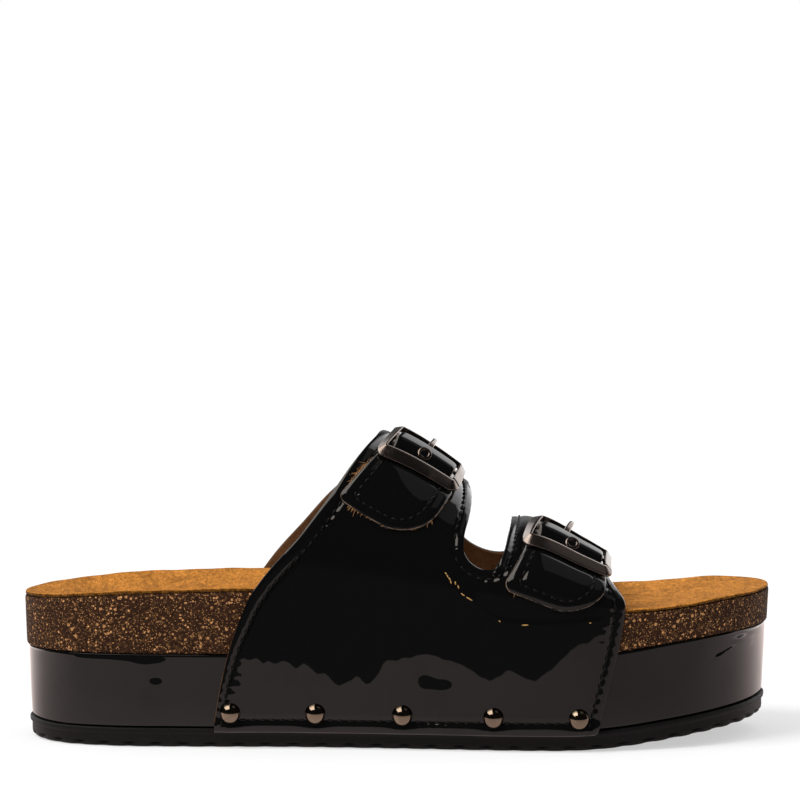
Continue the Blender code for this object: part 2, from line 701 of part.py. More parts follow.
def main():
    for item in list(bpy.data.objects):
        bpy.data.objects.remove(item)
    collection = bpy.data.collections.new("platform_slide_sandal")
    bpy.context.scene.collection.children.link(collection)
    make_outsole(collection)
    make_platform(collection)
    make_footbed(collection)
    make_insole(collection)
    make_upper(collection)
    for strap_name, strap in STRAPS.items():
        make_tab(f"{strap_name}_buckle_tab", strap, collection)
        make_buckle(f"{strap_name}_buckle", strap, collection)
        make_prong(f"{strap_name}_prong", strap, collection)
        make_eyelet(f"{strap_name}_eyelet", strap, collection)
    make_studs(collection)


main()
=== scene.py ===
"""Finishes for a two-strap platform slide sandal: fine surfaces, stitching, materials and a studio.

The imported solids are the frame. The tables below are in millimetres, and meshes are made in metres.
"""

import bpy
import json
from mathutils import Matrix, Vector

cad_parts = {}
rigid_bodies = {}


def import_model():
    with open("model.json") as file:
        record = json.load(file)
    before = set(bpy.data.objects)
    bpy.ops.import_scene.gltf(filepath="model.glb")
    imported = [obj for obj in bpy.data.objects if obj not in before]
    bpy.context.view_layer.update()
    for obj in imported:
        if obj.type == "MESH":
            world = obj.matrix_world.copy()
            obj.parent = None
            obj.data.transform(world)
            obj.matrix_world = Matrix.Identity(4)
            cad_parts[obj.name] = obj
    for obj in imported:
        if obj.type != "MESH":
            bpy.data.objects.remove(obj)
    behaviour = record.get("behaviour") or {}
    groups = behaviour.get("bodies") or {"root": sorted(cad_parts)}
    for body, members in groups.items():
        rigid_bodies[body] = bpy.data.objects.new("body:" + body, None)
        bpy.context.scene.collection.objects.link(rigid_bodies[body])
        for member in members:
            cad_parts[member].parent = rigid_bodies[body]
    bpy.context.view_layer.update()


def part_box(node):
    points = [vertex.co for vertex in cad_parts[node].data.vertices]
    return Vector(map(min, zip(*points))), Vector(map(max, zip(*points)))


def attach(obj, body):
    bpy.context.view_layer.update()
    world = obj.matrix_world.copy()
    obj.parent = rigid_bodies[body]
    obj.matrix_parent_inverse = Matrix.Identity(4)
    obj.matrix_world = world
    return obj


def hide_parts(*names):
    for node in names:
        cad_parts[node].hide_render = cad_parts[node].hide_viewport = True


bl_info = {
    "name": "Platform slide sandal",
    "version": (1, 0, 0),
    "blender": (4, 5, 0),
    "location": "View3D > Sidebar > Sandal",
    "description": "Leather, cork, suede, rubber and metal pieces around the sandal's packed solids",
    "category": "Object",
}

import json

import bmesh
import bpy
import numpy as np
from bpy.props import FloatProperty, FloatVectorProperty, PointerProperty
from bpy.types import Operator, Panel, PropertyGroup

for item in list(bpy.data.objects):
    bpy.data.objects.remove(item)
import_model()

MM = 0.001
MERGE_DISTANCE = 1e-7
BODY = "root"

# Whole sandal, its length taken from the footbed
FOOTBED_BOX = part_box("footbed_cork")
LENGTH = (FOOTBED_BOX[1].x - FOOTBED_BOX[0].x) / MM
HEEL_TIP_Y = 0.4
TOE_TIP_Y = 12.4
FIT_GAP = 0.3
FINE_POINTS = 1200

# Plan of the sole: share of the length from the heel, half width outside and inside the foot
SOLE_PLAN = (
    (0.02, 16.6, 17.4),
    (0.06, 26.6, 26.9),
    (0.12, 32.6, 32.4),
    (0.22, 35.1, 33.9),
    (0.36, 36.1, 31.9),
    (0.50, 39.6, 33.9),
    (0.60, 43.1, 39.4),
    (0.68, 45.1, 43.4),
    (0.76, 44.6, 45.9),
    (0.84, 40.1, 45.9),
    (0.91, 31.1, 42.4),
    (0.96, 18.6, 35.9),
    (0.99, 2.6, 25.4),
)

# Side of the sole: place along the foot, top of the platform, cork rim, depth of the footbed's dish
SOLE_SIDE = (
    (-129.0, 31.3, 48.4, 3.5),
    (-100.0, 31.4, 51.0, 6.0),
    (-67.0, 31.4, 52.4, 6.0),
    (-20.0, 31.4, 52.4, 4.5),
    (30.0, 31.5, 49.4, 3.5),
    (72.0, 33.0, 46.1, 3.0),
    (96.0, 36.2, 47.4, 2.5),
    (113.0, 37.8, 49.2, 2.2),
    (129.0, 38.4, 50.0, 2.0),
)

# Outsole, platform, footbed and insole
OUTSOLE_TOP = 6.4
OUTSOLE_LIP = 2.0
LIP_INSET = 1.6
TREAD_INSET = 2.3
SPRING_START = 52.0
SPRING_STRAIGHT = 80.0
SPRING_SLOPE = 0.125
HEEL_BEVEL_START = -112.0
HEEL_BEVEL_RISE = 1.0
RIBS_PER_SIDE = 33
POINTS_PER_RIB = 12
NOTCH_SHARPNESS = 4
NOTCH_PRESS = 1.1
NOTCH_RAISE = 0.6
NOTCH_RAISE_START = 60.0
NOTCH_RAISE_FULL = 105.0
NOTCH_RAISE_FLAT = 0.2
PLATFORM_TOP_INSET = 1.2
PLATFORM_BOTTOM_INSET = 2.3
CORK_BOTTOM_INSET = 0.6
INSOLE_THICKNESS = 1.3
INSOLE_INSET = 0.2
DISH_POWER = 2.4
ARCH_SUPPORT = 4.0
ARCH_SUPPORT_X = -18.0
ARCH_SUPPORT_LENGTH = 34.0
SPINE_HEEL_INSET = 31.0
SPINE_TOE_INSET = 40.0
SOLE_POINTS_PER_SIDE = 300
# Facing below which the insole's cut edge is painted dark as shade, and the softness of that step
EDGE_SHADE_FACING = 0.45
EDGE_SHADE_SOFTNESS = 0.3

# Rings of the outsole, from the middle of its tread round its edge to the middle of its top: scale of the
# plan, inset, height over the ground, shares of the notches' rise and of their press into the wall
OUTSOLE_STEP = OUTSOLE_TOP - OUTSOLE_LIP
OUTSOLE_RINGS = (
    (0.0, TREAD_INSET, 0.0, 0.0, 0.0),
    (0.5, TREAD_INSET, 0.0, 0.0, 0.0),
    (1.0, TREAD_INSET + 2.0, 0.0, 0.0, 0.0),
    (1.0, TREAD_INSET + 0.7, 0.0, 1.0, 0.0),
    (1.0, TREAD_INSET + 0.2, 0.35, 0.9, 0.1),
    (1.0, TREAD_INSET, 1.3, 0.4, 0.9),
    (1.0, TREAD_INSET, 1.5, 0.3, 1.0),
    (1.0, TREAD_INSET, 1.6, 0.3, 0.0),
    (1.0, TREAD_INSET, 1.9, 0.2, 0.0),
    (1.0, TREAD_INSET, OUTSOLE_STEP - 0.5, 0.0, 0.0),
    (1.0, TREAD_INSET - 0.1, OUTSOLE_STEP - 0.1, 0.0, 0.0),
    (1.0, LIP_INSET + 0.1, OUTSOLE_STEP + 0.2, 0.0, 0.0),
    (1.0, LIP_INSET, OUTSOLE_STEP + 0.6, 0.0, 0.0),
    (1.0, LIP_INSET, OUTSOLE_TOP - 0.5, 0.0, 0.0),
    (1.0, LIP_INSET + 0.2, OUTSOLE_TOP - 0.1, 0.0, 0.0),
    (1.0, LIP_INSET + 0.6, OUTSOLE_TOP, 0.0, 0.0),
    (0.0, LIP_INSET, OUTSOLE_TOP, 0.0, 0.0),
)

# Rings of the platform and of the footbed's side: scale of the plan, share of the height, tuck inwards
PLATFORM_FOOT_RINGS = ((0.0, 0.0, 0.0), (1.0, 0.0, 0.5), (1.0, 0.006, 0.1))
PLATFORM_WALL_SHARES = np.linspace(0.02, 0.985, 40)
PLATFORM_TOP_RINGS = ((1.0, 0.995, 0.08), (1.0, 1.0, 0.4), (0.0, 1.0, 0.0))
FOOTBED_SIDE_RINGS = (
    (0.0, 0.0, 0.0),
    (1.0, 0.0, 0.7),
    (1.0, 0.02, 0.2),
    (1.0, 0.06, 0.0),
    (1.0, 0.35, 0.0),
    (1.0, 0.65, 0.0),
    (1.0, 0.94, 0.0),
    (1.0, 0.985, 0.15),
    (1.0, 1.0, 0.6),
)
FOOTBED_DISH_SCALES = (0.97, 0.9, 0.8, 0.7, 0.55, 0.4, 0.2, 0.0)

# Rings of the insole: scales of its underside, scale and share of the thickness at its cut edge, scales
# of its face
INSOLE_UNDER_SCALES = (0.0, 0.4, 0.7, 0.9, 0.985)
INSOLE_EDGE_RINGS = ((0.998, 0.12), (1.0, 0.35), (0.9985, 0.62), (0.995, 0.85), (0.990, 0.97))
INSOLE_FACE_SCALES = (0.983, 0.97, 0.94, 0.9, 0.85, 0.8, 0.7, 0.55, 0.4, 0.2, 0.0)
INSOLE_WAVE_POWER = 8

# Waves of the surfaces: size, length along the foot, phase, and length the other way, which is LEVEL
# where a wave doesn't change that way
LEVEL = np.inf
PLATFORM_WAVES = ((0.03, 9.0, 0.0, 5.0), (0.02, 4.1, 0.0, -3.0))
INSOLE_WAVES = ((0.10, 5.3, 0.0, LEVEL), (0.07, 2.1, 0.0, 7.0))
INNER_PANEL_WAVES = ((1.0, 7.3, 0.0, LEVEL), (0.6, 3.1, 1.0, LEVEL))
RAGGED_WAVES = ((1.0, 0.9, 0.0, 6.0), (1.0, 1.37, 2.0, -9.0), (1.0, 0.61, 4.0, LEVEL))

# Dents of the platform's outer side: place along the foot, height, half length, half height, slope, turn
# in degrees
PLATFORM_DENTS = (
    (-82.0, 22.2, 2.7, 3.0, -0.085, 0.0),
    (-84.5, 28.8, 5.0, 2.0, -0.055, 0.0),
    (-104.0, 30.2, 18.0, 1.8, -0.080, 0.0),
    (109.4, 30.5, 1.8, 1.1, -0.300, 20.0),
    (113.2, 32.3, 4.0, 0.9, -0.320, 24.0),
    (117.6, 35.9, 2.6, 1.3, -0.300, 10.0),
    (123.0, 36.2, 2.6, 1.3, 0.240, 10.0),
    (122.6, 34.0, 1.6, 1.0, 0.240, 35.0),
)

# Upper: ridge line over the instep, as place along the foot and height
INSTEP_RIDGE = (
    (-70.0, 142.5),
    (-40.0, 123.5),
    (-8.0, 104.2),
    (0.0, 100.8),
    (12.0, 93.6),
    (23.0, 85.4),
    (38.0, 73.2),
    (46.0, 72.6),
    (60.0, 65.6),
    (72.0, 58.6),
    (85.0, 53.0),
)
RIDGE_Y = 2.4
UPPER_WALL = 2.0
UPPER_BOTTOM = 5.0
UPPER_TAPER = 1.2
RIM_CLEARANCE = 2.0
WALL_SHARE = 0.58
ARCH_EASE = 1.2
ARCH_ROUNDNESS = 2.2

# Cut edges of the upper. Girth runs from 0 at the ridge over 0.58 at the footbed's rim to 1 at the
# outsole. Columns: girth, back of rear strap, front of rear strap, back of front strap, its front,
# then how much further forward the two back edges lie on the inner side of the foot
UPPER_EDGES = (
    (0.00, -6.5, 23.4, 38.6, 69.0, 0.0, 0.0),
    (0.10, -8.8, 24.2, 37.6, 68.8, 2.0, 1.5),
    (0.18, -12.4, 24.1, 36.6, 69.2, 3.2, 3.0),
    (0.26, -16.9, 23.3, 35.6, 70.4, 3.6, 4.8),
    (0.34, -22.2, 22.0, 34.2, 72.1, 2.4, 6.8),
    (0.38, -25.4, 21.8, 33.3, 73.1, 1.2, 7.6),
    (0.46, -32.9, 20.0, 31.5, 74.8, 0.0, 7.0),
    (0.58, -47.8, 18.0, 30.5, 75.5, 0.0, 5.0),
    (0.70, -54.6, 16.5, 30.0, 73.7, 0.0, 3.0),
    (0.85, -59.5, 15.0, 29.5, 70.2, 0.0, 1.5),
    (1.00, -62.5, 14.0, 29.0, 66.4, 0.0, 0.0),
)
INNER_SHIFT_COLUMN = {1: 5, 3: 6}
NOTCH_CORNER = 0.38
NOTCH_DEPTH = 0.06

# Insets of the stitch rows as shares of the stitch inset; for the back row by girth
BACK_ROW_INSET = ((0.0, 1.15), (0.5, 1.25), (0.62, 1.15), (0.8, 0.75), (1.0, 0.65))
GAP_ROW_INSET = 0.9
FOOT_ROW_INSET = 1.28

# Grids over the upper: rows above and below the corner of the gap between the straps, then columns of
# the rear strap, of the gap and of the front strap
SKIN_GRID = dict(rows_above=34, rows_below=80, rear_columns=96, notch_columns=22, front_columns=52)
LINING_GRID = dict(rows_above=16, rows_below=30, rear_columns=26, notch_columns=14, front_columns=20)
FOOT_CROWD = 0.5
FOOT_TRIM_GIRTH = 0.02
NOTCH_TRIM_GIRTH = 0.01
GAP_POINTS = 120

# Layers of the upper: patent skin over a tan lining that stops a little short of the cut edges
SKIN_THICKNESS = 0.8
LINING_THICKNESS = 1.0
SKIN_TRIM = 0.2
LINING_TRIM = 0.35
LINING_SHORT = 0.06
HEM_FLARE = 0.60
HEM_CREST = 2.8
HEM_HEIGHT = 1.8
HEM_DIP = 1.1
HEM_DIP_LENGTH = 5.0
EDGE_ROLL = 0.5
EDGE_ROLL_WIDTH = 0.6

# Seams: how they pull the leather in, then the stitches' points along and round, taper, rise and dive, and
# their shares of the pitch, of the groove and of a tab's puff
SAMPLES_PER_STITCH = 6
SEAM_WIDTH = 0.9
DIMPLE_SHARE = 0.22
DIMPLE_WIDTH = 2.4
TAB_GROOVE_SHARE = 0.7
STITCH_STATIONS = 7
STITCH_SIDES = 6
STITCH_TAPER = 0.98
STITCH_RISE = 0.3
STITCH_DIVE = 0.45
STITCH_SUNK = 0.75
STITCH_LENGTH = 0.8
TAB_STITCH_PITCH = 0.85
TAB_STITCH_LENGTH = 0.7
TAB_STITCH_PUFF = 0.6

# Lean of the lower outer panel: place along the foot, outward slope in thousandths
PANEL_LEAN = (
    (-66.0, 6.0),
    (-46.0, 11.0),
    (-38.0, 7.0),
    (-30.0, 1.0),
    (-24.0, -9.0),
    (-19.6, -24.0),
    (-15.0, -13.0),
    (-8.0, -15.0),
    (-4.0, 9.0),
    (0.0, 17.0),
    (15.0, 17.0),
    (23.0, 6.0),
    (31.0, -10.0),
    (36.0, 2.0),
    (46.0, -10.0),
    (54.0, -5.0),
    (62.0, -3.0),
    (72.0, 2.0),
)
PANEL_MIDDLE = 26.0
PANEL_REACH = 16.0
INNER_LEAN = 0.010
RAGGED_LEAN = 0.0032
RAGGED_END = 12.0
RAGGED_FADE = 20.0
RAGGED_LEAST = 0.3

# Dents of the outer panel: place along the foot, height, half length, half height, slope
PANEL_DENTS = (
    (9.5, 23.2, 2.6, 4.4, -0.10),
    (14.5, 22.4, 3.4, 3.4, -0.10),
    (-55.0, 22.0, 4.0, 7.0, -0.030),
)

# Crease of the outer panel from the gap between the straps to the front edge: place along the foot, height
CREASE = (
    (10.0, 65.5),
    (14.3, 61.7),
    (18.0, 58.1),
    (25.3, 51.6),
    (32.3, 46.0),
    (42.2, 44.1),
    (53.8, 44.1),
    (63.8, 44.8),
    (74.0, 46.0),
)
CREASE_STEP = 0.36
CREASE_WIDTH = 1.0
CREASE_FADE = 15.0
CREASE_ENDS = 8.0

# Straps: first and last edge column, middle of the buckle as a share of the width, width, distance
# of the buckle from the ridge, its turn on the strap in radians; then for the tab its width, its
# reach below the buckle's middle, and how its lower end leans back and slants; then the prong's place
# across and the lift of its tip
STRAPS = {
    "rear": dict(first=1, last=2, middle=0.49, width=46.0, buckle=18.8, turn=0.08,
                 tab=31.5, drop=33.5, lean=0.08, slant=0.2, prong=0.0, tip_lift=5.8),
    "front": dict(first=3, last=4, middle=0.60, width=42.0, buckle=31.0, turn=0.18,
                  tab=30.0, drop=29.0, lean=0.10, slant=0.07, prong=-3.6, tip_lift=6.6),
}
STRAP_GIRTH_OUTER = 0.75
STRAP_GIRTH_INNER = 0.40
STRAP_SAMPLES = 231

# Buckle tabs, then their grids: rows of the neck, of the body and of the round corners, and columns
TAB_THICKNESS = 1.4
TAB_BACKING = 0.6
TAB_CORNER_BACK = 3.0
TAB_CORNER_FRONT = 13.5
TAB_CORNER_LEAST = 1.2
TAB_TRIM = 0.2
TAB_SIDE_ROW = 4.4
TAB_END_ROW = 3.0
TAB_SEAM_START = 1.0
TAB_PUFF = 0.26
TAB_PUFF_START = 3.0
TAB_PUFF_EDGE = 2.5
NECK_WIDTH = 24.6
NECK_FLARE = 2.0
NECK_END = 6.0
HUMP_RISE = 3.7
HUMP_FLAT = 1.6
HUMP_FOOT = 7.0
TAB_FACE_GRID = dict(neck_rows=64, body_rows=30, corner_rows=40, columns=44)
TAB_BACKING_GRID = dict(neck_rows=40, body_rows=18, corner_rows=24, columns=16)
TAB_LINE_GRID = dict(neck_rows=20, body_rows=60, corner_rows=60, columns=60)

# Buckles, prongs, eyelets and studs
FRAME_LENGTH = 33.5
FRAME_DEPTH = 22.0
FRAME_BEND = 2.0
FRAME_BEND_POINTS = 8
FRAME_STEP = 1.0
FRAME_BAR = 3.4
CENTRE_BAR = 2.5
CENTRE_BAR_LESS = 0.4
CENTRE_BAR_SOFTNESS = 0.7
CENTRE_BAR_ROWS = 24
FRAME_THICKNESS = 2.2
NEAR_BAR_EXTRA = 0.8
FRAME_WALL = 0.8
FRAME_FLAT = 0.7
FRAME_LIFT = 2.2
FAR_BAR_RISE = 0.5
FAR_BAR_START = 0.2
BAR_SIDES = 14
PRONG_HALF_WIDTH = 1.2
PRONG_HALF_HEIGHT = 0.6
PRONG_SOFTNESS = 0.8
PRONG_TIP = 0.14
PRONG_TAPER = 0.25
PRONG_ROWS = 30
EYELET_PLACE = 3.4
EYELET_SEGMENTS = 32
STUD_RADIUS = 3.5
STUD_HEIGHT = 2.5
STUD_UNDERSIDE = ((STUD_RADIUS - 0.15, -0.12), (STUD_RADIUS - 0.7, -0.3), (0.0, -0.3))
STUD_ROWS = 14
STUD_SEGMENTS = 36
STUD_GIRTH = 0.941
STUD_PLACES = (-56.5, -27.8, 1.5, 31.9, 60.1)

# Path of a prong: place along the strap, lift, and whether the lift is counted from that of the tip
PRONG_PATH = (
    (-1.6, 3.8, 0.0),
    (-4.4, 5.4, 0.0),
    (-7.6, -0.2, 1.0),
    (-9.6, 0.0, 1.0),
    (-10.8, 0.1, 1.0),
)

# Profile of an eyelet: distance from its axis, height over the leather
EYELET_PROFILE = (
    (2.45, -0.2),
    (2.4, 0.12),
    (2.25, 0.3),
    (2.0, 0.36),
    (1.6, 0.4),
    (1.4, 0.36),
    (1.28, 0.2),
    (1.2, -0.1),
    (1.15, -0.6),
    (0.0, -0.65),
)

# Painted glints along the crease: tan strokes that stand in for warm reflections in its fine wrinkles.
# Columns: place along the foot, height, length, angle in degrees
PAINTED_GLINTS = (
    (16.0, 59.5, 1.0, -48.0),
    (16.6, 58.6, 1.4, -66.0),
    (17.3, 57.7, 1.5, -55.0),
    (17.7, 56.7, 1.3, -70.0),
    (19.2, 56.4, 1.5, -82.0),
    (20.2, 55.2, 1.5, -76.0),
    (21.7, 52.8, 2.0, -36.0),
    (23.8, 51.5, 3.0, -30.0),
    (33.9, 44.1, 1.0, -45.0),
    (42.2, 42.9, 2.8, 2.0),
    (63.6, 43.6, 0.9, 5.0),
)

# Painted glint strokes and frayed fibres: how a glint stroke lies in the film, then a fibre's points along
# and round, its root inside the edge, lean, curl, lift and taper
PAINTED_GLINT_SUNK = 0.3
PAINTED_GLINT_DIVE = 0.5
OUTLINE_STEP = 0.2
FIBRE_SEED = 7
FIBRE_STATIONS = 6
FIBRE_SIDES = 4
FIBRE_ROOT = 1.2
FIBRE_LEAN = 1.8
FIBRE_SHORTEST = 0.5
FIBRE_CURL = 1.2
FIBRE_LIFT = 0.35
FIBRE_RISE = 0.5
FIBRE_RISE_RANGE = (0.2, 1.6)
FIBRE_TAPER = 0.85

# Frayed fibres under the tabs: strap, place across, place along, spread along the edge, length, count
FRAYS = (
    ("rear", -15.6, 17.5, 2.8, 3.2, 34),
    ("rear", -16.8, 22.0, 2.4, 3.4, 34),
    ("rear", -9.0, 31.4, 5.0, 1.7, 60),
    ("rear", 0.0, 33.6, 3.4, 1.3, 24),
    ("rear", 13.2, 25.5, 1.6, 2.0, 12),
    ("rear", 11.0, 30.0, 1.6, 1.8, 10),
    ("front", -16.0, 17.5, 1.6, 1.2, 8),
    ("front", -14.0, 26.5, 1.6, 1.1, 8),
)

# Stage in metres: floor as a corner and two edges, white sheet that only gloss sees with its front edge as
# place along the foot and depth, and how the sheet brightens to the back and fades to the toe
FLOOR = ((-4.0, -4.0, -0.0002), (8.0, 0.0, 0.0), (0.0, 8.0, 0.0))
FLOOR_GREY = (0.36, 0.36, 0.36)
FLOOR_ROUGHNESS = 0.9
WHITE = (1.0, 1.0, 1.0)
SHEET_EDGE = (
    (-1.2, -0.190),
    (0.038, -0.190),
    (0.050, -0.214),
    (0.062, -0.230),
    (0.086, -0.250),
    (0.120, -0.262),
    (1.2, -0.265),
)
SHEET_BACK = 1.2
SHEET_LEVEL = -0.0001
SHEET_BACK_GAIN = 5.0
SHEET_BACK_START = -0.1
SHEET_FADE = 1.4
SHEET_TOE_GAIN = 2.6
SHEET_TOE_START = 0.13

# Cards that only gloss sees, in metres: name, one corner, its two edges, tint, setting of the brightness
CARDS = (
    ("window", (-1.2, -0.9, 1.0), (1.0, 0.0, 0.0), (0.0, 1.2, 0.0), (1.0, 0.92, 0.84), "window_glow"),
    ("side_card", (0.27, -0.36, 1.0), (0.5, 0.0, 0.0), (0.0, 0.7, 0.0), (1.0, 0.94, 0.92), "card_glow"),
)

# Room that gloss sees: along which direction each part starts, and how soft its edge is
BACK_WALL_DEPTH = (0.42, 0.12)
BACK_WALL_TOP = (0.35, 0.2)
SIDE_WALL_WIDTH = (0.2, 0.07)
SIDE_WALL_DEPTH = (0.3, 0.15)
CEILING = (0.88, 0.06)
HORIZON = (0.0, 0.05)
ROOM_SHADE = 0.7

# Lights and camera, in metres and millimetres of lens
KEY_PLACE = (-0.60, -0.40, 0.85)
FILL_PLACE = (0.1, -1.5, 0.9)
FILL_SIZE = 1.2
LIGHT_TARGET = (0.0, 0.0, 0.03)
SENSOR_WIDTH = 36.0
VIEW_END = 20.0


def blend(stations, values, at):
    """Value between stations on a smooth cubic whose slopes are those of the neighbours."""
    stations = np.asarray(stations, float)
    values = np.asarray(values, float)
    at = np.clip(np.asarray(at, float), stations[0], stations[-1])
    slope = np.gradient(values, stations, axis=0)
    low = np.clip(np.searchsorted(stations, at, side="right") - 1, 0, len(stations) - 2)
    step = stations[low + 1] - stations[low]
    t = (at - stations[low]) / step
    if values.ndim == 2:
        step = step[..., None]
        t = t[..., None]
    level = values[low] * (1 + 2 * t) * (1 - t) ** 2 + values[low + 1] * t * t * (3 - 2 * t)
    return level + step * t * (1 - t) * (slope[low] * (1 - t) - slope[low + 1] * t)


def column(table, index):
    """One column of a table of rows, by its number."""
    return np.array([row[index] for row in table], float)


def along_table(table, index, at):
    """Value of one column of a table whose first column is a place, at other places."""
    return blend(column(table, 0), column(table, index), at)


def running_length(points):
    """Distance along a line of points, from its first."""
    steps = np.linalg.norm(np.diff(points, axis=0), axis=1)
    return np.concatenate([[0.0], np.cumsum(steps)])


def unit(vectors):
    """Vectors scaled to length one."""
    return vectors / np.linalg.norm(vectors, axis=-1, keepdims=True)


def swell(value, centre, width):
    """Bell curve of height one: exp(-((value - centre) / width)^2)."""
    return np.exp(-((value - centre) / width) ** 2)


def waves(table, along, over):
    """Sum of sine waves, one for each row of a table: size * sin(along / length + phase + over / rise)."""
    return sum(size * np.sin(along / length + phase + over / rise) for size, length, phase, rise in table)


def crowded(count, crowd=0.72):
    """Shares from 0 to 1 that lie closer together near both ends: t - crowd * sin(2 pi t) / (2 pi)."""
    t = np.linspace(0.0, 1.0, count + 1)
    return t - crowd * np.sin(2 * np.pi * t) / (2 * np.pi)


def plan_sides(count):
    """Outer and inner side of the sole's plan, each evenly spaced from heel tip to toe tip."""
    places = (column(SOLE_PLAN, 0) - 0.5) * LENGTH
    lateral = list(zip(places, -column(SOLE_PLAN, 1)))
    medial = list(zip(places, column(SOLE_PLAN, 2)))
    heel = (-LENGTH / 2, HEEL_TIP_Y)
    toe = (LENGTH / 2, TOE_TIP_Y)
    loop = [heel] + lateral + [toe] + medial[::-1]
    lap = 3
    ring = np.array(loop[-lap:] + loop + loop[:lap + 1])
    run = running_length(ring)
    heel_run, toe_run, end_run = run[lap], run[lap + 1 + len(lateral)], run[lap + len(loop)]
    sides = []
    for start in (heel_run, end_run):
        line = blend(run, ring, np.linspace(start, toe_run, FINE_POINTS))
        length = running_length(line)
        even = np.linspace(0.0, length[-1], count)
        sides.append(np.stack([np.interp(even, length, line[:, axis]) for axis in (0, 1)], axis=1))
    return sides


FINE_LATERAL, FINE_MEDIAL = plan_sides(FINE_POINTS)


def half_width(x, side):
    """Half width of the sole at x, outside the foot where side is negative."""
    lateral = -np.interp(x, FINE_LATERAL[:, 0], FINE_LATERAL[:, 1])
    medial = np.interp(x, FINE_MEDIAL[:, 0], FINE_MEDIAL[:, 1])
    return np.where(side < 0, lateral, medial)


def ground(x):
    """Height of the tread: flat, with a toe spring in front and a small bevel at the heel."""
    curve = np.clip(x - SPRING_START, 0.0, SPRING_STRAIGHT - SPRING_START)
    straight = np.clip(x - SPRING_STRAIGHT, 0.0, None)
    spring = SPRING_SLOPE * (curve ** 2 / (2 * (SPRING_STRAIGHT - SPRING_START)) + straight)
    reach = LENGTH / 2 + HEEL_BEVEL_START
    heel = HEEL_BEVEL_RISE * np.clip((HEEL_BEVEL_START - x) / reach, 0.0, None) ** 2
    return spring + heel


def platform_top(x):
    """Height of the platform's top edge."""
    return along_table(SOLE_SIDE, 1, x)


def cork_rim(x):
    """Height of the footbed's upper edge."""
    return along_table(SOLE_SIDE, 2, x)


def sole_ring(count, scale, inset):
    """Closed plan ring, inset from the outline, then shrunk towards the sole's spine by scale.

    Columns of the result: x, y and 1 on the inner side of the foot or -1 on the outer side.
    """
    lateral, medial = plan_sides(count)
    loop = np.vstack([lateral, medial[-2:0:-1]])
    tangent = unit(np.roll(loop, -1, axis=0) - np.roll(loop, 1, axis=0))
    outward = np.stack([tangent[:, 1], -tangent[:, 0]], axis=1)
    loop = loop - np.reshape(inset, (-1, 1)) * outward
    middle_x = (lateral[:, 0] + medial[:, 0]) / 2
    spine_x = np.clip(middle_x, SPINE_HEEL_INSET - LENGTH / 2, LENGTH / 2 - SPINE_TOE_INSET)
    spine_y = (half_width(spine_x, 1) - half_width(spine_x, -1)) / 2
    spine = np.stack([spine_x, spine_y], axis=1)
    spine = np.vstack([spine, spine[-2:0:-1]])
    side = np.concatenate([-np.ones(count), np.ones(count - 2)])
    return np.column_stack([spine + scale * (loop - spine), side])


def level_ring(ring, height):
    """Ring of points at the given heights."""
    return np.column_stack([ring[:, :2], np.broadcast_to(height, len(ring))])


def footbed_height(ring, scale):
    """Dished top of the cork: rim height less the dish, with a swell under the arch of the foot."""
    x = ring[:, 0]
    dish = along_table(SOLE_SIDE, 3, x) * (1.0 - scale ** DISH_POWER)
    along = swell(x, ARCH_SUPPORT_X, ARCH_SUPPORT_LENGTH)
    rise = ARCH_SUPPORT * along * np.clip(ring[:, 2], 0.0, 1.0) * 4.0 * scale ** 2 * (1.0 - scale)
    return cork_rim(x) - dish + rise


def last_surface(x, q):
    """Inner face of the upper: x along the foot, q from -1 outside over 0 at the ridge to 1 inside.

    Each cross-section is an upright wall beside the sole, then half of a superellipse over the foot.
    """
    side = np.where(q < 0, -1.0, 1.0)
    girth = np.abs(q)
    ridge = along_table(INSTEP_RIDGE, 1, x)
    rim = cork_rim(x) + RIM_CLEARANCE
    half = half_width(x, side) + FIT_GAP
    climb = np.clip((1.0 - girth) / (1.0 - WALL_SHARE), 0.0, 1.0)
    angle = np.clip(1.0 - girth / WALL_SHARE, 0.0, 1.0) ** ARCH_EASE * np.pi / 2
    power = 2.0 / ARCH_ROUNDNESS
    out = np.cos(angle) ** power
    up = np.sin(angle) ** power
    wall = UPPER_BOTTOM + ground(x) + (rim - UPPER_BOTTOM - ground(x)) * climb
    z = np.where(girth > WALL_SHARE, wall, rim + (ridge - rim) * up)
    y = side * half * out + RIDGE_Y * (1.0 - out) - side * UPPER_TAPER * (1.0 - climb)
    return np.stack(np.broadcast_arrays(x, y, z), axis=-1)


def relief(x, q, z):
    """Swells of the leather in millimetres outwards: leaning waves of the lower panel, slow ones with
    ragged ones on top, a few dents, and one soft crease above which the leather steps in."""
    step_x = 0.5
    outer = q < 0
    ragged = RAGGED_LEAN * waves(RAGGED_WAVES, x, z)
    ragged = ragged * np.clip((RAGGED_END - x) / RAGGED_FADE, RAGGED_LEAST, 1.0)
    outer_lean = along_table(PANEL_LEAN, 1, x) / 1000.0 + ragged
    lean = np.where(outer, outer_lean, INNER_LEAN * waves(INNER_PANEL_WAVES, x, z))
    wave = lean * (z - PANEL_MIDDLE) * swell(z, PANEL_MIDDLE, PANEL_REACH)
    for place, height, half_length, half_height, slope in PANEL_DENTS:
        dent = slope * (z - height) * swell(x, place, half_length) * swell(z, height, half_height)
        wave = wave + np.where(outer, dent, 0.0)
    fall = along_table(CREASE, 1, x + step_x) - along_table(CREASE, 1, x - step_x)
    off = (z - along_table(CREASE, 1, x)) / np.sqrt(1.0 + fall ** 2)
    past_start = np.clip((x - CREASE[0][0]) / CREASE_ENDS, 0.0, 1.0)
    before_end = np.clip((CREASE[-1][0] - x) / CREASE_ENDS, 0.0, 1.0)
    step = (1.0 + np.tanh(off / CREASE_WIDTH)) / 2 * np.exp(-np.clip(off, 0.0, None) / CREASE_FADE)
    return wave - np.where(outer, CREASE_STEP * (past_start * before_end) * step, 0.0)


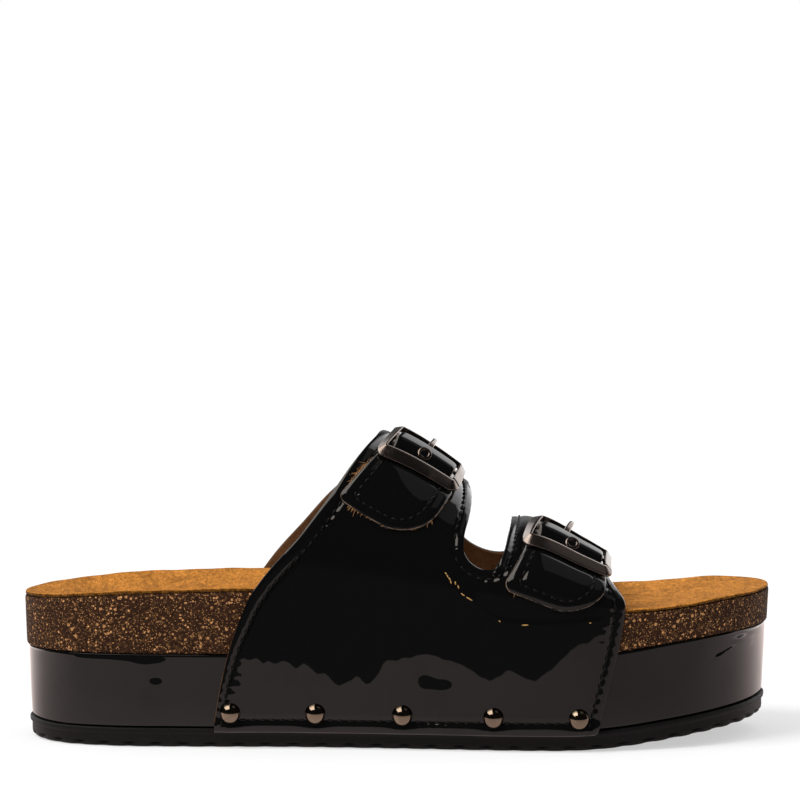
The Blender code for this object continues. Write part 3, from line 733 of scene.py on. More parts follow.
def upper_normal(x, q):
    """Outward normal of the upper's inner face, from differences along and around the foot."""
    step_x = 0.5
    step_q = 0.004
    along = last_surface(x + step_x, q) - last_surface(x - step_x, q)
    around = last_surface(x, np.minimum(q + step_q, 1.0)) - last_surface(x, np.maximum(q - step_q, -1.0))
    return unit(np.cross(along, around))


def upper_surface(x, q, lift):
    """Point at a distance outside the upper's inner face, along its normal, with the leather's relief."""
    base = last_surface(x, q)
    return base + (np.asarray(lift) + relief(x, q, base[..., 2]))[..., None] * upper_normal(x, q)


def edge_at(q, index):
    """Place along the foot of one cut edge of the upper, with its shift on the inner side of the foot."""
    place = along_table(UPPER_EDGES, index, np.abs(q))
    if index in INNER_SHIFT_COLUMN:
        shift = along_table(UPPER_EDGES, INNER_SHIFT_COLUMN[index], np.abs(q))
        place = place + np.where(np.asarray(q) > 0, shift, 0.0)
    return place


def upper_grid(trim, rows_above, rows_below, rear_columns, notch_columns, front_columns):
    """Grid over the upper that follows its cut edges: x, q and the cells that are leather.

    Rows run from the outer sole edge over the ridge to the inner one. Columns run from the back edge to
    the gap between the straps, across the gap, and to the front edge. Below the gap's corner the columns
    of the gap dip in a half sine, which is the round bottom of the notch.
    """
    above = np.linspace(0.0, NOTCH_CORNER, rows_above + 1)
    lowest = 1.0 - FOOT_TRIM_GIRTH * trim
    below = NOTCH_CORNER + (lowest - NOTCH_CORNER) * crowded(rows_below, FOOT_CROWD)
    half = np.concatenate([above, below[1:]])
    q = np.concatenate([-half[::-1], half[1:]])
    girth = np.abs(q)[:, None]
    back, rear_front, front_back, front_edge = (edge_at(q[:, None], index) for index in (1, 2, 3, 4))
    back = back + trim
    rear_front = rear_front - trim
    front_back = front_back + trim
    front_edge = front_edge - trim
    rear = back + (rear_front - back) * crowded(rear_columns)
    front = front_back + (front_edge - front_back) * crowded(front_columns)
    turn = np.linspace(0.0, np.pi, notch_columns + 1)[1:-1]
    notch = rear_front + (front_back - rear_front) * (1 - np.cos(turn)) / 2
    x = np.hstack([rear, notch, front])
    dip = np.zeros(x.shape[1])
    depth = NOTCH_DEPTH + NOTCH_TRIM_GIRTH * trim
    dip[rear_columns + 1:rear_columns + notch_columns] = depth * np.sin(turn)
    fade = np.clip((lowest - girth) / (lowest - NOTCH_CORNER), 0.0, 1.0)
    grid_q = np.sign(q)[:, None] * (girth + dip * fade)
    keep = np.ones((len(q) - 1, x.shape[1] - 1), bool)
    keep[rows_below:rows_below + 2 * rows_above, rear_columns:rear_columns + notch_columns] = False
    return x, grid_q, keep


def notch_loop(count):
    """Outline of the gap between the straps: front of the rear strap, inner notch, back of the front
    strap, outer notch. A notch is a half cosine across and a half sine deep."""
    q = np.linspace(-NOTCH_CORNER, NOTCH_CORNER, count)
    turn = np.linspace(0.0, np.pi, count)
    depth = NOTCH_CORNER + NOTCH_DEPTH * np.sin(turn)
    across = (1 - np.cos(turn)) / 2

    def notch(corner):
        return edge_at(corner, 2) + (edge_at(corner, 3) - edge_at(corner, 2)) * across

    x = np.concatenate([edge_at(q, 2), notch(NOTCH_CORNER), edge_at(q, 3)[::-1], notch(-NOTCH_CORNER)[::-1]])
    return x, np.concatenate([q, depth, q[::-1], -depth[::-1]])


def move_aside(x, q, distance):
    """Line on the upper moved sideways along the surface, to the left of its own direction.

    The sideways vector is the normal crossed with the tangent; the metric of the surface turns it into
    steps of x and q.
    """
    step_x = 0.5
    step_q = 0.002
    q_low = np.clip(q - step_q, -1.0, 1.0)
    q_high = np.clip(q + step_q, -1.0, 1.0)
    by_x = (last_surface(x + step_x, q) - last_surface(x - step_x, q)) / (2 * step_x)
    by_q = (last_surface(x, q_high) - last_surface(x, q_low)) / (q_high - q_low)[:, None]
    points = last_surface(x, q)
    aside = unit(np.cross(upper_normal(x, q), np.gradient(points, axis=0)))
    xx = np.sum(by_x * by_x, axis=1)
    qq = np.sum(by_q * by_q, axis=1)
    xq = np.sum(by_x * by_q, axis=1)
    push_x = np.sum(by_x * aside, axis=1)
    push_q = np.sum(by_q * aside, axis=1)
    scale = xx * qq - xq ** 2
    return (x + distance * (push_x * qq - push_q * xq) / scale,
            np.clip(q + distance * (push_q * xx - push_x * xq) / scale, -1.0, 1.0))


def upper_stitch_lines(inset, count=300):
    """Lines of stitching on the upper as pairs of x and q: back edge, front edge, the gap between the
    straps, and the foot of both side panels. The back row runs closer to its edge towards the sole."""
    q = np.linspace(-1.0, 1.0, count)
    back_inset = inset * along_table(BACK_ROW_INSET, 1, np.abs(q))
    lines = [move_aside(edge_at(q, 1), q, -back_inset), move_aside(edge_at(q, 4), q, inset)]
    x, hole_q = notch_loop(count // 3)
    lines.append(move_aside(x, hole_q, GAP_ROW_INSET * inset))
    for side in (-1.0, 1.0):
        foot = np.full(count, side)
        x = np.linspace(edge_at(side, 1) + inset, edge_at(side, 4) - inset, count)
        lines.append(move_aside(x, foot, -side * FOOT_ROW_INSET * inset))
    return lines


def spread_along(x, q, pitch):
    """Places a pitch apart along a line on the upper, as x and q."""
    points = last_surface(x, q)
    run = running_length(points)
    at = np.arange(pitch, run[-1] - pitch / 2, pitch)
    return np.interp(at, run, x), np.interp(at, run, q)


def nearest(points, line, chunk=4000):
    """Distance from each point to the nearest point of a line, and that point's number."""
    flat = points.reshape(-1, points.shape[-1])
    found = []
    number = []
    for start in range(0, len(flat), chunk):
        gap = np.linalg.norm(flat[start:start + chunk, None] - line[None], axis=-1)
        found.append(gap.min(axis=1))
        number.append(gap.argmin(axis=1))
    shape = points.shape[:-1]
    return np.concatenate(found).reshape(shape), np.concatenate(number).reshape(shape)


def strap_point(strap, across, along, lift):
    """Point on a strap, measured from the middle of its buckle: across towards the toe, along down
    the outer side, and lift outwards from the leather."""
    q = np.linspace(-STRAP_GIRTH_OUTER, STRAP_GIRTH_INNER, STRAP_SAMPLES)

    def place(at, share):
        first = edge_at(at, strap["first"])
        return first + (edge_at(at, strap["last"]) - first) * share

    middle = strap["middle"]
    line_x = place(q, middle)
    line = last_surface(line_x, q) + UPPER_WALL * upper_normal(line_x, q)
    run = running_length(line)
    run = np.interp(0.0, q, run) - run
    cos, sin = np.cos(strap["turn"]), np.sin(strap["turn"])
    down = strap["buckle"] + along * cos + across * sin
    at = np.interp(-down, -run, q)
    share = middle + (across * cos - along * sin) / strap["width"]
    return upper_surface(place(at, share), at, UPPER_WALL + lift)


def hump(along):
    """Rise of a tab's neck over the centre bar: flat over the bar, easing down to both sides."""
    t = np.clip((np.abs(along) - HUMP_FLAT) / (HUMP_FOOT - HUMP_FLAT), 0.0, 1.0)
    return HUMP_RISE * (1.0 - t * t * (3.0 - 2.0 * t))


def tab_grid(strap, trim, end_trim, neck_rows, body_rows, corner_rows, columns):
    """Places across and along a tab: narrow neck, flare under the near bar, rounded lower end.

    The tab is trimmed at its sides and at its ends. Its lower corners are quarter circles, and the part
    below the buckle leans back and slants.
    """
    half_frame = FRAME_DEPTH / 2
    drop = strap["drop"] - end_trim
    front_radius = TAB_CORNER_FRONT - trim
    neck = np.linspace(-half_frame - NECK_END + end_trim, half_frame - FRAME_BAR, neck_rows, endpoint=False)
    body = np.linspace(half_frame - FRAME_BAR, drop - front_radius, body_rows, endpoint=False)
    turn = np.sin(np.linspace(0.0, np.pi / 2, corner_rows))
    along = np.concatenate([neck, body, drop - front_radius * (1.0 - turn)])
    widen = np.clip((along - half_frame + FRAME_BAR) / NECK_FLARE, 0.0, 1.0)
    half = NECK_WIDTH / 2 + (strap["tab"] - NECK_WIDTH) / 2 * widen - trim

    def corner(radius):
        past = np.clip((along - drop + radius) / radius, 0.0, 1.0)
        return radius * (1.0 - np.sqrt(1.0 - past ** 2))

    back = -half + corner(max(TAB_CORNER_BACK - trim, TAB_CORNER_LEAST))
    front = half - corner(front_radius)
    across = back[:, None] + (front - back)[:, None] * crowded(columns)
    below = np.clip(along - half_frame, 0.0, None)[:, None]
    slanted = along[:, None] + strap["slant"] * across * below / (strap["drop"] - half_frame)
    return across - strap["lean"] * below, slanted


def tab_outline(strap, trim, end_trim, start):
    """Line round the lower part of a tab, from one side of the buckle to the other."""
    across, along = tab_grid(strap, trim, end_trim, **TAB_LINE_GRID)
    lower = along[:, 0] > start
    back = np.column_stack([across[lower, 0], along[lower, 0]])
    end = np.column_stack([across[-1], along[-1]])
    front = np.column_stack([across[lower, -1], along[lower, -1]])
    front = front[front[:, 1] > start]
    return np.vstack([back, end[1:-1], front[::-1]])


def tab_seam(strap):
    """Sewn line of a tab, inside its sides and its end."""
    return tab_outline(strap, TAB_SIDE_ROW, TAB_END_ROW, FRAME_DEPTH / 2 + TAB_SEAM_START)


def even_line(points, pitch):
    """Points a pitch apart along a line, starting half a pitch in."""
    run = running_length(points)
    at = np.arange(pitch / 2, run[-1], pitch)
    return np.stack([np.interp(at, run, points[:, axis]) for axis in range(points.shape[1])], axis=1)


def rounded_loop(half_length, half_depth, radius, count):
    """Closed rounded rectangle with its outward direction: centre of each corner plus a turning radius."""
    quarter = np.linspace(0.0, np.pi / 2, count)
    angle = np.concatenate([quarter + turn * np.pi / 2 for turn in range(4)])
    corner_x = np.repeat([1, -1, -1, 1], count) * (half_length - radius)
    corner_y = np.repeat([1, 1, -1, -1], count) * (half_depth - radius)
    out = np.column_stack([np.cos(angle), np.sin(angle)])
    points = np.column_stack([corner_x, corner_y]) + radius * out
    run = running_length(np.vstack([points, points[:1]]))
    even = np.unique(np.concatenate([run[:-1], np.arange(0.0, run[-1], FRAME_STEP)]))
    points = np.vstack([points, points[:1]])
    out = np.vstack([out, out[:1]])
    line = np.stack([np.interp(even, run, points[:, axis]) for axis in (0, 1)], axis=1)
    return line, unit(np.stack([np.interp(even, run, out[:, axis]) for axis in (0, 1)], axis=1))


def bar_section(half_across, half_height, softness):
    """Closed section of a bar with soft corners: signed powers of cosine and sine."""
    angle = np.linspace(0.0, 2 * np.pi, BAR_SIDES, endpoint=False)
    cos, sin = np.cos(angle), np.sin(angle)
    return np.column_stack([half_across * np.sign(cos) * np.abs(cos) ** softness,
                            half_height * np.sign(sin) * np.abs(sin) ** softness])


def rounded_section(corners, cut=0.22, hold=0.12, count=5):
    """Closed polygon whose corners are rounded by parabolas; a point close to each end of its sides keeps
    the sides flat."""
    corners = np.array(corners, float)
    back = unit(np.roll(corners, 1, axis=0) - corners)
    ahead = unit(np.roll(corners, -1, axis=0) - corners)
    way = np.linspace(0.0, 1.0, count)[None, :, None]
    arc = corners[:, None] + cut * ((1.0 - way) ** 2 * back[:, None] + way ** 2 * ahead[:, None])
    first = corners + (cut + hold) * back
    last = corners + (cut + hold) * ahead
    return np.concatenate([first[:, None], arc, last[:, None]], axis=1).reshape(-1, 2)


def fill_mesh(name, points, quads, merge):
    """Smooth mesh from points in millimetres; merge joins doubled points and turns the faces outwards."""
    mesh = bpy.data.meshes.new(name)
    mesh.from_pydata((points * MM).tolist(), [], quads.tolist())
    if merge:
        shape = bmesh.new()
        shape.from_mesh(mesh)
        bmesh.ops.remove_doubles(shape, verts=shape.verts, dist=MERGE_DISTANCE)
        bmesh.ops.recalc_face_normals(shape, faces=shape.faces)
        shape.to_mesh(mesh)
        shape.free()
    mesh.shade_smooth()
    return mesh


def grid_quads(rows, columns, wrap):
    """Corner numbers of the cells of a grid; wrap joins the last column to the first."""
    index = np.arange(rows * columns).reshape(rows, columns)
    right = np.roll(index, -1, axis=1)
    cells = np.stack([index[:-1], right[:-1], right[1:], index[1:]], axis=-1)
    return cells if wrap else cells[:, :-1]


def grid_mesh(name, points, keep=None, wrap=False, merge=False):
    """Mesh over a grid of points, of all its cells or only of the kept ones."""
    cells = grid_quads(*points.shape[:2], wrap)
    cells = cells.reshape(-1, 4) if keep is None else cells[keep]
    used, quads = np.unique(cells, return_inverse=True)
    return fill_mesh(name, points.reshape(-1, 3)[used], quads.reshape(-1, 4), merge)


def turned_points(profile, segments, centre, across, out):
    """Surface of revolution: profile radius turned round the out axis at centre, profile height along it."""
    angle = np.linspace(0.0, 2 * np.pi, segments, endpoint=False)
    beside = np.cross(out, across)
    radius = profile[:, :1, None]
    spin = np.cos(angle)[None, :, None] * across + np.sin(angle)[None, :, None] * beside
    return centre + radius * spin + profile[:, 1:, None] * out


def add_piece(context, name, mesh, finish, slot, *nodes):
    """Object at the origin that rides with the sandal and stands for the named solids."""
    mesh.materials.append(material(context, finish))
    piece = bpy.data.objects.new(name, mesh)
    context.scene.collection.objects.link(piece)
    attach(piece, BODY)
    if nodes:
        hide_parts(*nodes)
    return piece


def add_closed_piece(context, name, points, finish, slot, *nodes):
    """Piece from a grid of points whose rows are closed rings, the first and the last drawn together."""
    add_piece(context, name, grid_mesh(name, points, wrap=True, merge=True), finish, slot, *nodes)


def add_wall(piece, thickness, offset):
    """Solidify wall on an open surface: offset 1 grows it outwards, -1 inwards."""
    wall = piece.modifiers.new("Wall", "SOLIDIFY")
    wall.thickness = thickness * MM
    wall.offset = offset


class Wire:
    """One shader socket. Arithmetic on it adds Math nodes, and node() adds any other node."""

    def __init__(self, tree, socket):
        self.tree = tree
        self.socket = socket

    def feed(self, target, value):
        """Links or sets one input socket."""
        if isinstance(value, Wire):
            self.tree.links.new(value.socket, target)
        else:
            target.default_value = value

    def node(self, kind, sockets, output=0, **settings):
        """New node: settings first, then the values or links of its sockets."""
        made = self.tree.nodes.new(kind)
        for name, value in settings.items():
            setattr(made, name, value)
        for name, value in sockets.items():
            self.feed(made.inputs[name], value)
        return Wire(self.tree, made.outputs[output])

    def maths(self, operation, first, second):
        return self.node("ShaderNodeMath", {0: first, 1: second}, operation=operation)

    def __add__(self, other):
        return self.maths("ADD", self, other)

    __radd__ = __add__

    def __sub__(self, other):
        return self.maths("SUBTRACT", self, other)

    def __rsub__(self, other):
        return self.maths("SUBTRACT", other, self)

    def __mul__(self, other):
        return self.maths("MULTIPLY", self, other)

    __rmul__ = __mul__

    def above(self, edge, softness):
        """One where the value is above the edge, zero below, with a soft step between."""
        return self.node("ShaderNodeMapRange", {"Value": self, "From Min": edge - softness,
                                                "From Max": edge + softness}, interpolation_type="SMOOTHSTEP")

    def noise(self, scale, detail, roughness=0.5):
        """Noise value around a vector."""
        return self.node("ShaderNodeTexNoise", {"Vector": self, "Scale": scale, "Detail": detail,
                                                "Roughness": roughness})

    def cells(self, scale, output=0):
        """Cell pattern around a vector: output 0 is the distance to the cell's middle, 1 its colour."""
        return self.node("ShaderNodeTexVoronoi", {"Vector": self, "Scale": scale}, output=output)

    def stretched(self, scale):
        """Vector scaled along its axes, for streaks."""
        return self.node("ShaderNodeMapping", {"Vector": self, "Scale": scale})

    def mix(self, first, second):
        """Colour between two, this value being the share of the second."""
        return self.node("ShaderNodeMix", {0: self, 6: first, 7: second}, output=2, data_type="RGBA")


def start_material(name, **constants):
    """New Principled material with constant sockets set, its object coordinates and its shader node."""
    made = bpy.data.materials.new(name)
    made.use_nodes = True
    tree = made.node_tree
    shader = tree.nodes["Principled BSDF"]
    for socket, value in constants.items():
        shader.inputs[socket.replace("_", " ")].default_value = value
    coordinates = tree.nodes.new("ShaderNodeTexCoord")
    return made, Wire(tree, coordinates.outputs["Object"]), shader


def finish_material(place, shader, bump=None, strength=0.3, distance=0.0002, **fields):
    """Feeds the varying sockets of a shader, and a bump into its normal."""
    for socket, value in fields.items():
        place.feed(shader.inputs[socket.replace("_", " ")], value)
    if bump:
        height = {"Height": bump, "Strength": strength, "Distance": distance}
        place.feed(shader.inputs["Normal"], place.node("ShaderNodeBump", height))


def rgba(colour, scale=1.0):
    """Colour with full alpha, brightened or darkened by a factor."""
    return (*[channel * scale for channel in colour], 1.0)


def patent_material(colour):
    """Black patent leather: a dark base under a sharp clear coat, with faint peel and hazy smudges."""
    made, place, shader = start_material("patent", Base_Color=rgba(colour), Coat_Roughness=0.02,
                                         Coat_IOR=1.5, Specular_IOR_Level=0.0)
    smudge = place.noise(55.0, 4.0, 0.6).above(0.62, 0.12)
    scratch = place.stretched((1.0, 1.0, 9.0)).noise(240.0, 5.0, 0.7).above(0.70, 0.05)
    peel = place.noise(420.0, 2.0) + 0.5 * place.noise(1500.0, 1.0)
    finish_material(place, shader, bump=peel, strength=0.05, distance=0.0001,
                    Roughness=0.34 + 0.25 * smudge, Coat_Weight=1.0 - 0.10 * smudge - 0.14 * scratch)
    return made


def lining_material(colour):
    """Tan lining leather with a short nap and darker worn patches."""
    made, place, shader = start_material("lining", Specular_IOR_Level=0.1)
    patch = place.noise(90.0, 4.0, 0.65).above(0.5, 0.2)
    nap = place.noise(1500.0, 4.0, 0.7).above(0.5, 0.2)
    finish_material(place, shader, bump=nap, strength=0.4, distance=0.0003,
                    Base_Color=(0.55 * patch + 0.45 * nap).mix(rgba(colour, 0.4), rgba(colour, 1.6)),
                    Roughness=0.85 + 0.1 * nap)
    return made


def raw_edge_material(colour):
    """Pale raw leather at the cut edges of the tabs, smudged with black dye."""
    made, place, shader = start_material("raw_edge", Specular_IOR_Level=0.3)
    dye = place.noise(420.0, 4.0, 0.65).above(0.5, 0.12)
    finish_material(place, shader, bump=dye, strength=0.4, distance=0.0002,
                    Base_Color=dye.mix(rgba(colour, 0.12), rgba(colour)), Roughness=0.6 + 0.2 * dye)
    return made


def suede_material(colour):
    """Tan suede: brushed patches, a grainy nap with darker pits, and its cut edge painted dark as shade.

    The attribute "raw" is 1 where the surface faces sideways or down, on the cut edge, and 0 on the face.
    """
    made, place, shader = start_material("suede", Sheen_Weight=0.02, Sheen_Roughness=0.4,
                                         Specular_IOR_Level=0.05)
    patch = place.noise(60.0, 5.0, 0.62).above(0.5, 0.2)
    nap = place.stretched((1.0, 0.5, 1.0)).noise(900.0, 4.0, 0.7).above(0.5, 0.12)
    tuft = place.stretched((1.0, 0.6, 1.0)).noise(260.0, 5.0, 0.7).above(0.5, 0.14)
    pit = place.stretched((1.0, 0.4, 1.0)).noise(1500.0, 3.0, 0.6).above(0.60, 0.05)
    face = (0.25 * patch + 0.35 * tuft + 0.4 * nap).mix(rgba(colour, 0.46), rgba(colour, 1.58))
    face = (0.5 * pit).mix(face, rgba(colour, 0.42))
    # Painted shade: the insole's cut edge, which faces sideways or down, is darkened to 0.1 to 0.42 of the
    # colour
    raw = place.node("ShaderNodeAttribute", {}, output=2, attribute_name="raw")
    ragged = (raw + 0.9 * place.noise(1100.0, 3.0, 0.6)).above(0.92, 0.2)
    edge = nap.mix(rgba(colour, 0.10), rgba(colour, 0.42))
    finish_material(place, shader, bump=nap - 0.5 * pit + 0.3 * patch, strength=0.6, distance=0.0004,
                    Base_Color=ragged.mix(face, edge), Roughness=0.88 + 0.1 * nap)
    return made


# Layers of cork granules: cells to a metre, share of cells left out, shade of the fleck colour
CORK_LAYERS = (
    (780.0, 0.84, 0.12),
    (800.0, 0.962, 0.8),
    (1150.0, 0.93, 1.0),
    (1700.0, 0.86, 0.25),
    (1900.0, 0.92, 0.8),
    (2900.0, 0.90, 0.7),
)


def cork_material(colour, fleck):
    """Dark pressed cork: angular granules in shades of brown, some of them rust and some pale flecks."""
    made, place, shader = start_material("cork", Specular_IOR_Level=0.08)
    ripple = place.node("ShaderNodeTexNoise", {"Vector": place, "Scale": 1400.0, "Detail": 2.0}, output=1)
    bent = place.node("ShaderNodeMix", {0: 0.0004, 4: place, 5: ripple}, output=1, data_type="VECTOR",
                      clamp_factor=False)
    grain = place.noise(1100.0, 4.0, 0.7).above(0.5, 0.2)
    base = grain.mix(rgba(colour, 0.5), rgba(colour, 1.5))
    relief_height = 0.5 * grain
    for scale, share, shade in CORK_LAYERS:
        draw = bent.node("ShaderNodeSeparateColor", {"Color": bent.cells(scale, output=1)})
        inside = 1.0 - bent.cells(scale).above(0.45, 0.10)
        granule = draw.above(share, 0.02) * inside
        base = granule.mix(base, rgba(fleck, shade))
        relief_height = relief_height + 0.25 * granule
    finish_material(place, shader, bump=relief_height, strength=0.5, distance=0.0004,
                    Base_Color=base, Roughness=0.72 + 0.2 * grain)
    return made


def rubber_material(colour):
    """Moulded black rubber with a fine matt grain and a few paler scuffs."""
    made, place, shader = start_material("rubber", Specular_IOR_Level=0.2)
    grain = place.noise(900.0, 4.0, 0.6)
    scuff = place.stretched((1.0, 1.0, 6.0)).noise(90.0, 5.0, 0.7).above(0.63, 0.06)
    finish_material(place, shader, bump=grain, strength=0.3, distance=0.0002,
                    Base_Color=(0.5 * scuff).mix(rgba(colour), rgba(colour, 2.4)),
                    Roughness=0.5 + 0.16 * grain + 0.1 * scuff)
    return made


def metal_material(name, colour, roughness):
    """Gunmetal plating with faint brushing and slight wear."""
    made, place, shader = start_material(name, Metallic=1.0)
    brush = place.stretched((1.0, 1.0, 5.0)).noise(1600.0, 3.0, 0.6)
    wear = place.noise(160.0, 4.0, 0.6).above(0.6, 0.12)
    finish_material(place, shader, bump=brush, strength=0.06, distance=0.0001,
                    Base_Color=(0.7 * wear).mix(rgba(colour), rgba(colour, 1.5)),
                    Roughness=roughness + 0.03 * brush + 0.06 * wear)
    return made


def thread_material(colour):
    """Waxed black thread with a fine twist."""
    made, place, shader = start_material("thread", Base_Color=rgba(colour), Specular_IOR_Level=0.2)
    twist = place.noise(4200.0, 2.0)
    finish_material(place, shader, bump=twist, strength=0.5, distance=0.0001, Roughness=0.3 + 0.2 * twist)
    return made


def fibre_material(name, colour):
    """Tan strands, paler in some places: bare leather fibres, and the painted glints along the crease."""
    made, place, shader = start_material(name, Sheen_Weight=0.2)
    shade = place.noise(900.0, 2.0)
    finish_material(place, shader, Base_Color=shade.mix(rgba(colour, 0.3), rgba(colour, 1.7)),
                    Roughness=0.7 + 0.2 * shade)
    return made


MAKERS = {
    "patent": lambda c: patent_material(c.patent),
    "lining": lambda c: lining_material(c.lining),
    "raw_edge": lambda c: raw_edge_material(c.raw_edge),
    "suede": lambda c: suede_material(c.suede),
    "cork": lambda c: cork_material(c.cork, c.fleck),
    "rubber": lambda c: rubber_material(c.rubber),
    "stud_plating": lambda c: metal_material("stud_plating", c.stud, 0.05),
    "buckle_plating": lambda c: metal_material("buckle_plating", c.buckle, 0.20),
    "thread": lambda c: thread_material(c.thread),
    "fibre": lambda c: fibre_material("fibre", c.fibre),
    # The painted glints along the crease use the fibres' material: tan strokes standing in for reflections
    "painted_glint": lambda c: fibre_material("painted_glint", c.painted_glint),
}


def material(context, name):
    """Material of that name, made on its first use from the colours in the panel."""
    return bpy.data.materials.get(name) or MAKERS[name](context.scene.sandal_colours)


def length_setting(name, description, default, least):
    """Setting for a length in metres."""
    return FloatProperty(name=name, description=description, default=default, min=least, unit="LENGTH")


def colour_setting(name, description, default):
    """Setting for a colour."""
    return FloatVectorProperty(name=name, description=description, default=default, min=0.0, max=1.0,
                               subtype="COLOR")


def strength_setting(name, description, default):
    """Setting for the strength of a light or of a lit surface."""
    return FloatProperty(name=name, description=description, default=default, min=0.0)


def angle_setting(name, description, degrees):
    """Setting for an angle, given in degrees."""
    return FloatProperty(name=name, description=description, default=np.radians(degrees), subtype="ANGLE")


class SandalSizes(PropertyGroup):
    """Sizes of the sewn and worn details."""

    stitch_pitch: length_setting("Stitch pitch", "Distance from stitch to stitch", 0.0033, 0.002)
    stitch_inset: length_setting("Stitch inset", "Distance of the stitching from a cut edge", 0.0037, 0.001)
    thread: length_setting("Thread", "Thickness of the sewing thread", 0.0008, 0.0002)
    groove: length_setting("Groove", "Depth to which the stitching pulls the leather in", 0.0004, 0.0)
    fibre: length_setting("Fibre", "Thickness of a loose fibre at its root", 0.0003, 0.0001)
    # Width of the tan strokes that are painted glints along the crease
    painted_glint: length_setting("Crack", "Width of a crack in the patent film", 0.0004, 0.0001)


class SandalColours(PropertyGroup):
    """Base colours of the materials."""

    patent: colour_setting("Patent", "Leather under the clear coat", (0.0022, 0.0021, 0.0021))
    lining: colour_setting("Lining", "Lining of the upper", (0.082, 0.040, 0.017))
    raw_edge: colour_setting("Raw edge", "Cut edges of the tabs", (0.17, 0.115, 0.08))
    suede: colour_setting("Suede", "Suede of the insole", (0.385, 0.150, 0.025))
    cork: colour_setting("Cork", "Pressed cork between the flecks", (0.025, 0.0100, 0.0047))
    fleck: colour_setting("Cork fleck", "Pale granules in the cork", (0.45, 0.215, 0.083))
    rubber: colour_setting("Rubber", "Rubber of the outsole", (0.0035, 0.0035, 0.0035))
    stud: colour_setting("Studs", "Bronze-tinted plating of the studs", (0.25, 0.20, 0.15))
    buckle: colour_setting("Buckles", "Plating of buckles, prongs and eyelets", (0.25, 0.21, 0.19))
    thread: colour_setting("Thread", "Sewing thread", (0.0025, 0.0025, 0.0025))
    fibre: colour_setting("Fibre", "Frayed fibres under the tabs", (0.34, 0.15, 0.04))
    # Colour of the painted glints along the crease, tan strokes that stand in for warm reflections
    painted_glint: colour_setting("Crack", "Bare leather in the cracks of the patent film", (0.34, 0.18, 0.042))


class SandalStudio(PropertyGroup):
    """Camera, lights and floor."""

    camera_place: FloatVectorProperty(name="Camera", description="Place of the camera", subtype="TRANSLATION",
                                      default=(0.000519, -1.2, 0.176125), unit="LENGTH")
    camera_tilt: angle_setting("Camera tilt", "Angle of the view below the horizon", 2.8956)
    lens: FloatProperty(name="Lens", description="Focal length on a 36 mm sensor", default=156.8,
                        unit="CAMERA")
    sheet_tint: colour_setting("Sheet tint", "Colour of the reflected sheet", (1.0, 0.84, 0.80))
    sheet_glow: strength_setting("Sheet brightness", "Brightness of the reflected sheet", 0.54)
    window_glow: strength_setting("Window brightness", "Brightness of the reflected window", 3.2)
    card_glow: strength_setting("Card brightness", "Brightness of the card on the right", 0.16)
    key_power: strength_setting("Key light", "Strength of the soft key light", 2.7)
    key_angle: angle_setting("Key softness", "Angle that the key light covers", 32.0)
    fill_power: strength_setting("Fill light", "Power of the front fill in watts", 3.0)
    floor_glow: strength_setting("Floor brightness", "Own brightness of the white floor", 0.525)
    dome: strength_setting("Dome", "Brightness of the even light on matt surfaces", 0.85)
    back_wall: strength_setting("Back wall", "Brightness of the reflected wall behind the sandal", 0.22)
    side_wall: strength_setting("Side walls", "Brightness of the reflected walls beside the sandal", 1.5)
    dark: strength_setting("Dark floor", "Brightness of the reflected floor past the white sheet", 0.045)


class SANDAL_OT_outsole(Operator):
    """Rubber outsole with a ribbed tread edge and a lip"""

    bl_idname = "sandal.outsole"
    bl_label = "Outsole"

    def execute(self, context):
        count = POINTS_PER_RIB * RIBS_PER_SIDE + 1
        number = np.arange(2 * count - 2)
        notch = np.abs(np.cos(np.pi * number / POINTS_PER_RIB)) ** NOTCH_SHARPNESS
        rings = []
        for scale, inset, height, raised, pressed in OUTSOLE_RINGS:
            ring = sole_ring(count, scale, inset + pressed * NOTCH_PRESS * notch)
            x = ring[:, 0]
            forward = (x - NOTCH_RAISE_START) / (NOTCH_RAISE_FULL - NOTCH_RAISE_START)
            toe = np.clip(forward, NOTCH_RAISE_FLAT, 1.0)
            rings.append(level_ring(ring, ground(x) + height + raised * NOTCH_RAISE * toe * notch))
        add_closed_piece(context, "rubber_outsole", np.stack(rings), "rubber", "black_rubber", "outsole")
        return {"FINISHED"}


class SANDAL_OT_platform(Operator):
    """Patent-wrapped platform block with soft edges and a slightly uneven skin"""

    bl_idname = "sandal.platform"
    bl_label = "Platform"

    def unevenness(self, ring, height):
        """Swells of the wrapped skin: long low waves and, on the outer side, a few turned dents."""
        x = ring[:, 0]
        wave = waves(PLATFORM_WAVES, x, height)
        for place, level, half_length, half_height, slope, degrees in PLATFORM_DENTS:
            cos, sin = np.cos(np.radians(degrees)), np.sin(np.radians(degrees))
            along = (x - place) * cos + (height - level) * sin
            over = (height - level) * cos - (x - place) * sin
            dent = slope * over * swell(along, 0.0, half_length) * swell(over, 0.0, half_height)
            wave = wave + np.where(ring[:, 2] < 0, dent, 0.0)
        return wave

    def execute(self, context):
        count = SOLE_POINTS_PER_SIDE
        base = OUTSOLE_TOP + FIT_GAP
        wall = [(1.0, share, 0.0) for share in PLATFORM_WALL_SHARES]
        rings = []
        for scale, share, tuck in (*PLATFORM_FOOT_RINGS, *wall, *PLATFORM_TOP_RINGS):
            plain = sole_ring(count, scale, 0.0)
            low = ground(plain[:, 0]) + base
            height = low + share * (platform_top(plain[:, 0]) - low)
            inset = PLATFORM_BOTTOM_INSET + (PLATFORM_TOP_INSET - PLATFORM_BOTTOM_INSET) * share + tuck
            plan = sole_ring(count, scale, inset - scale * self.unevenness(plain, height))
            rings.append(level_ring(plan, height))
        add_closed_piece(context, "patent_platform", np.stack(rings), "patent", "black_patent", "platform")
        return {"FINISHED"}


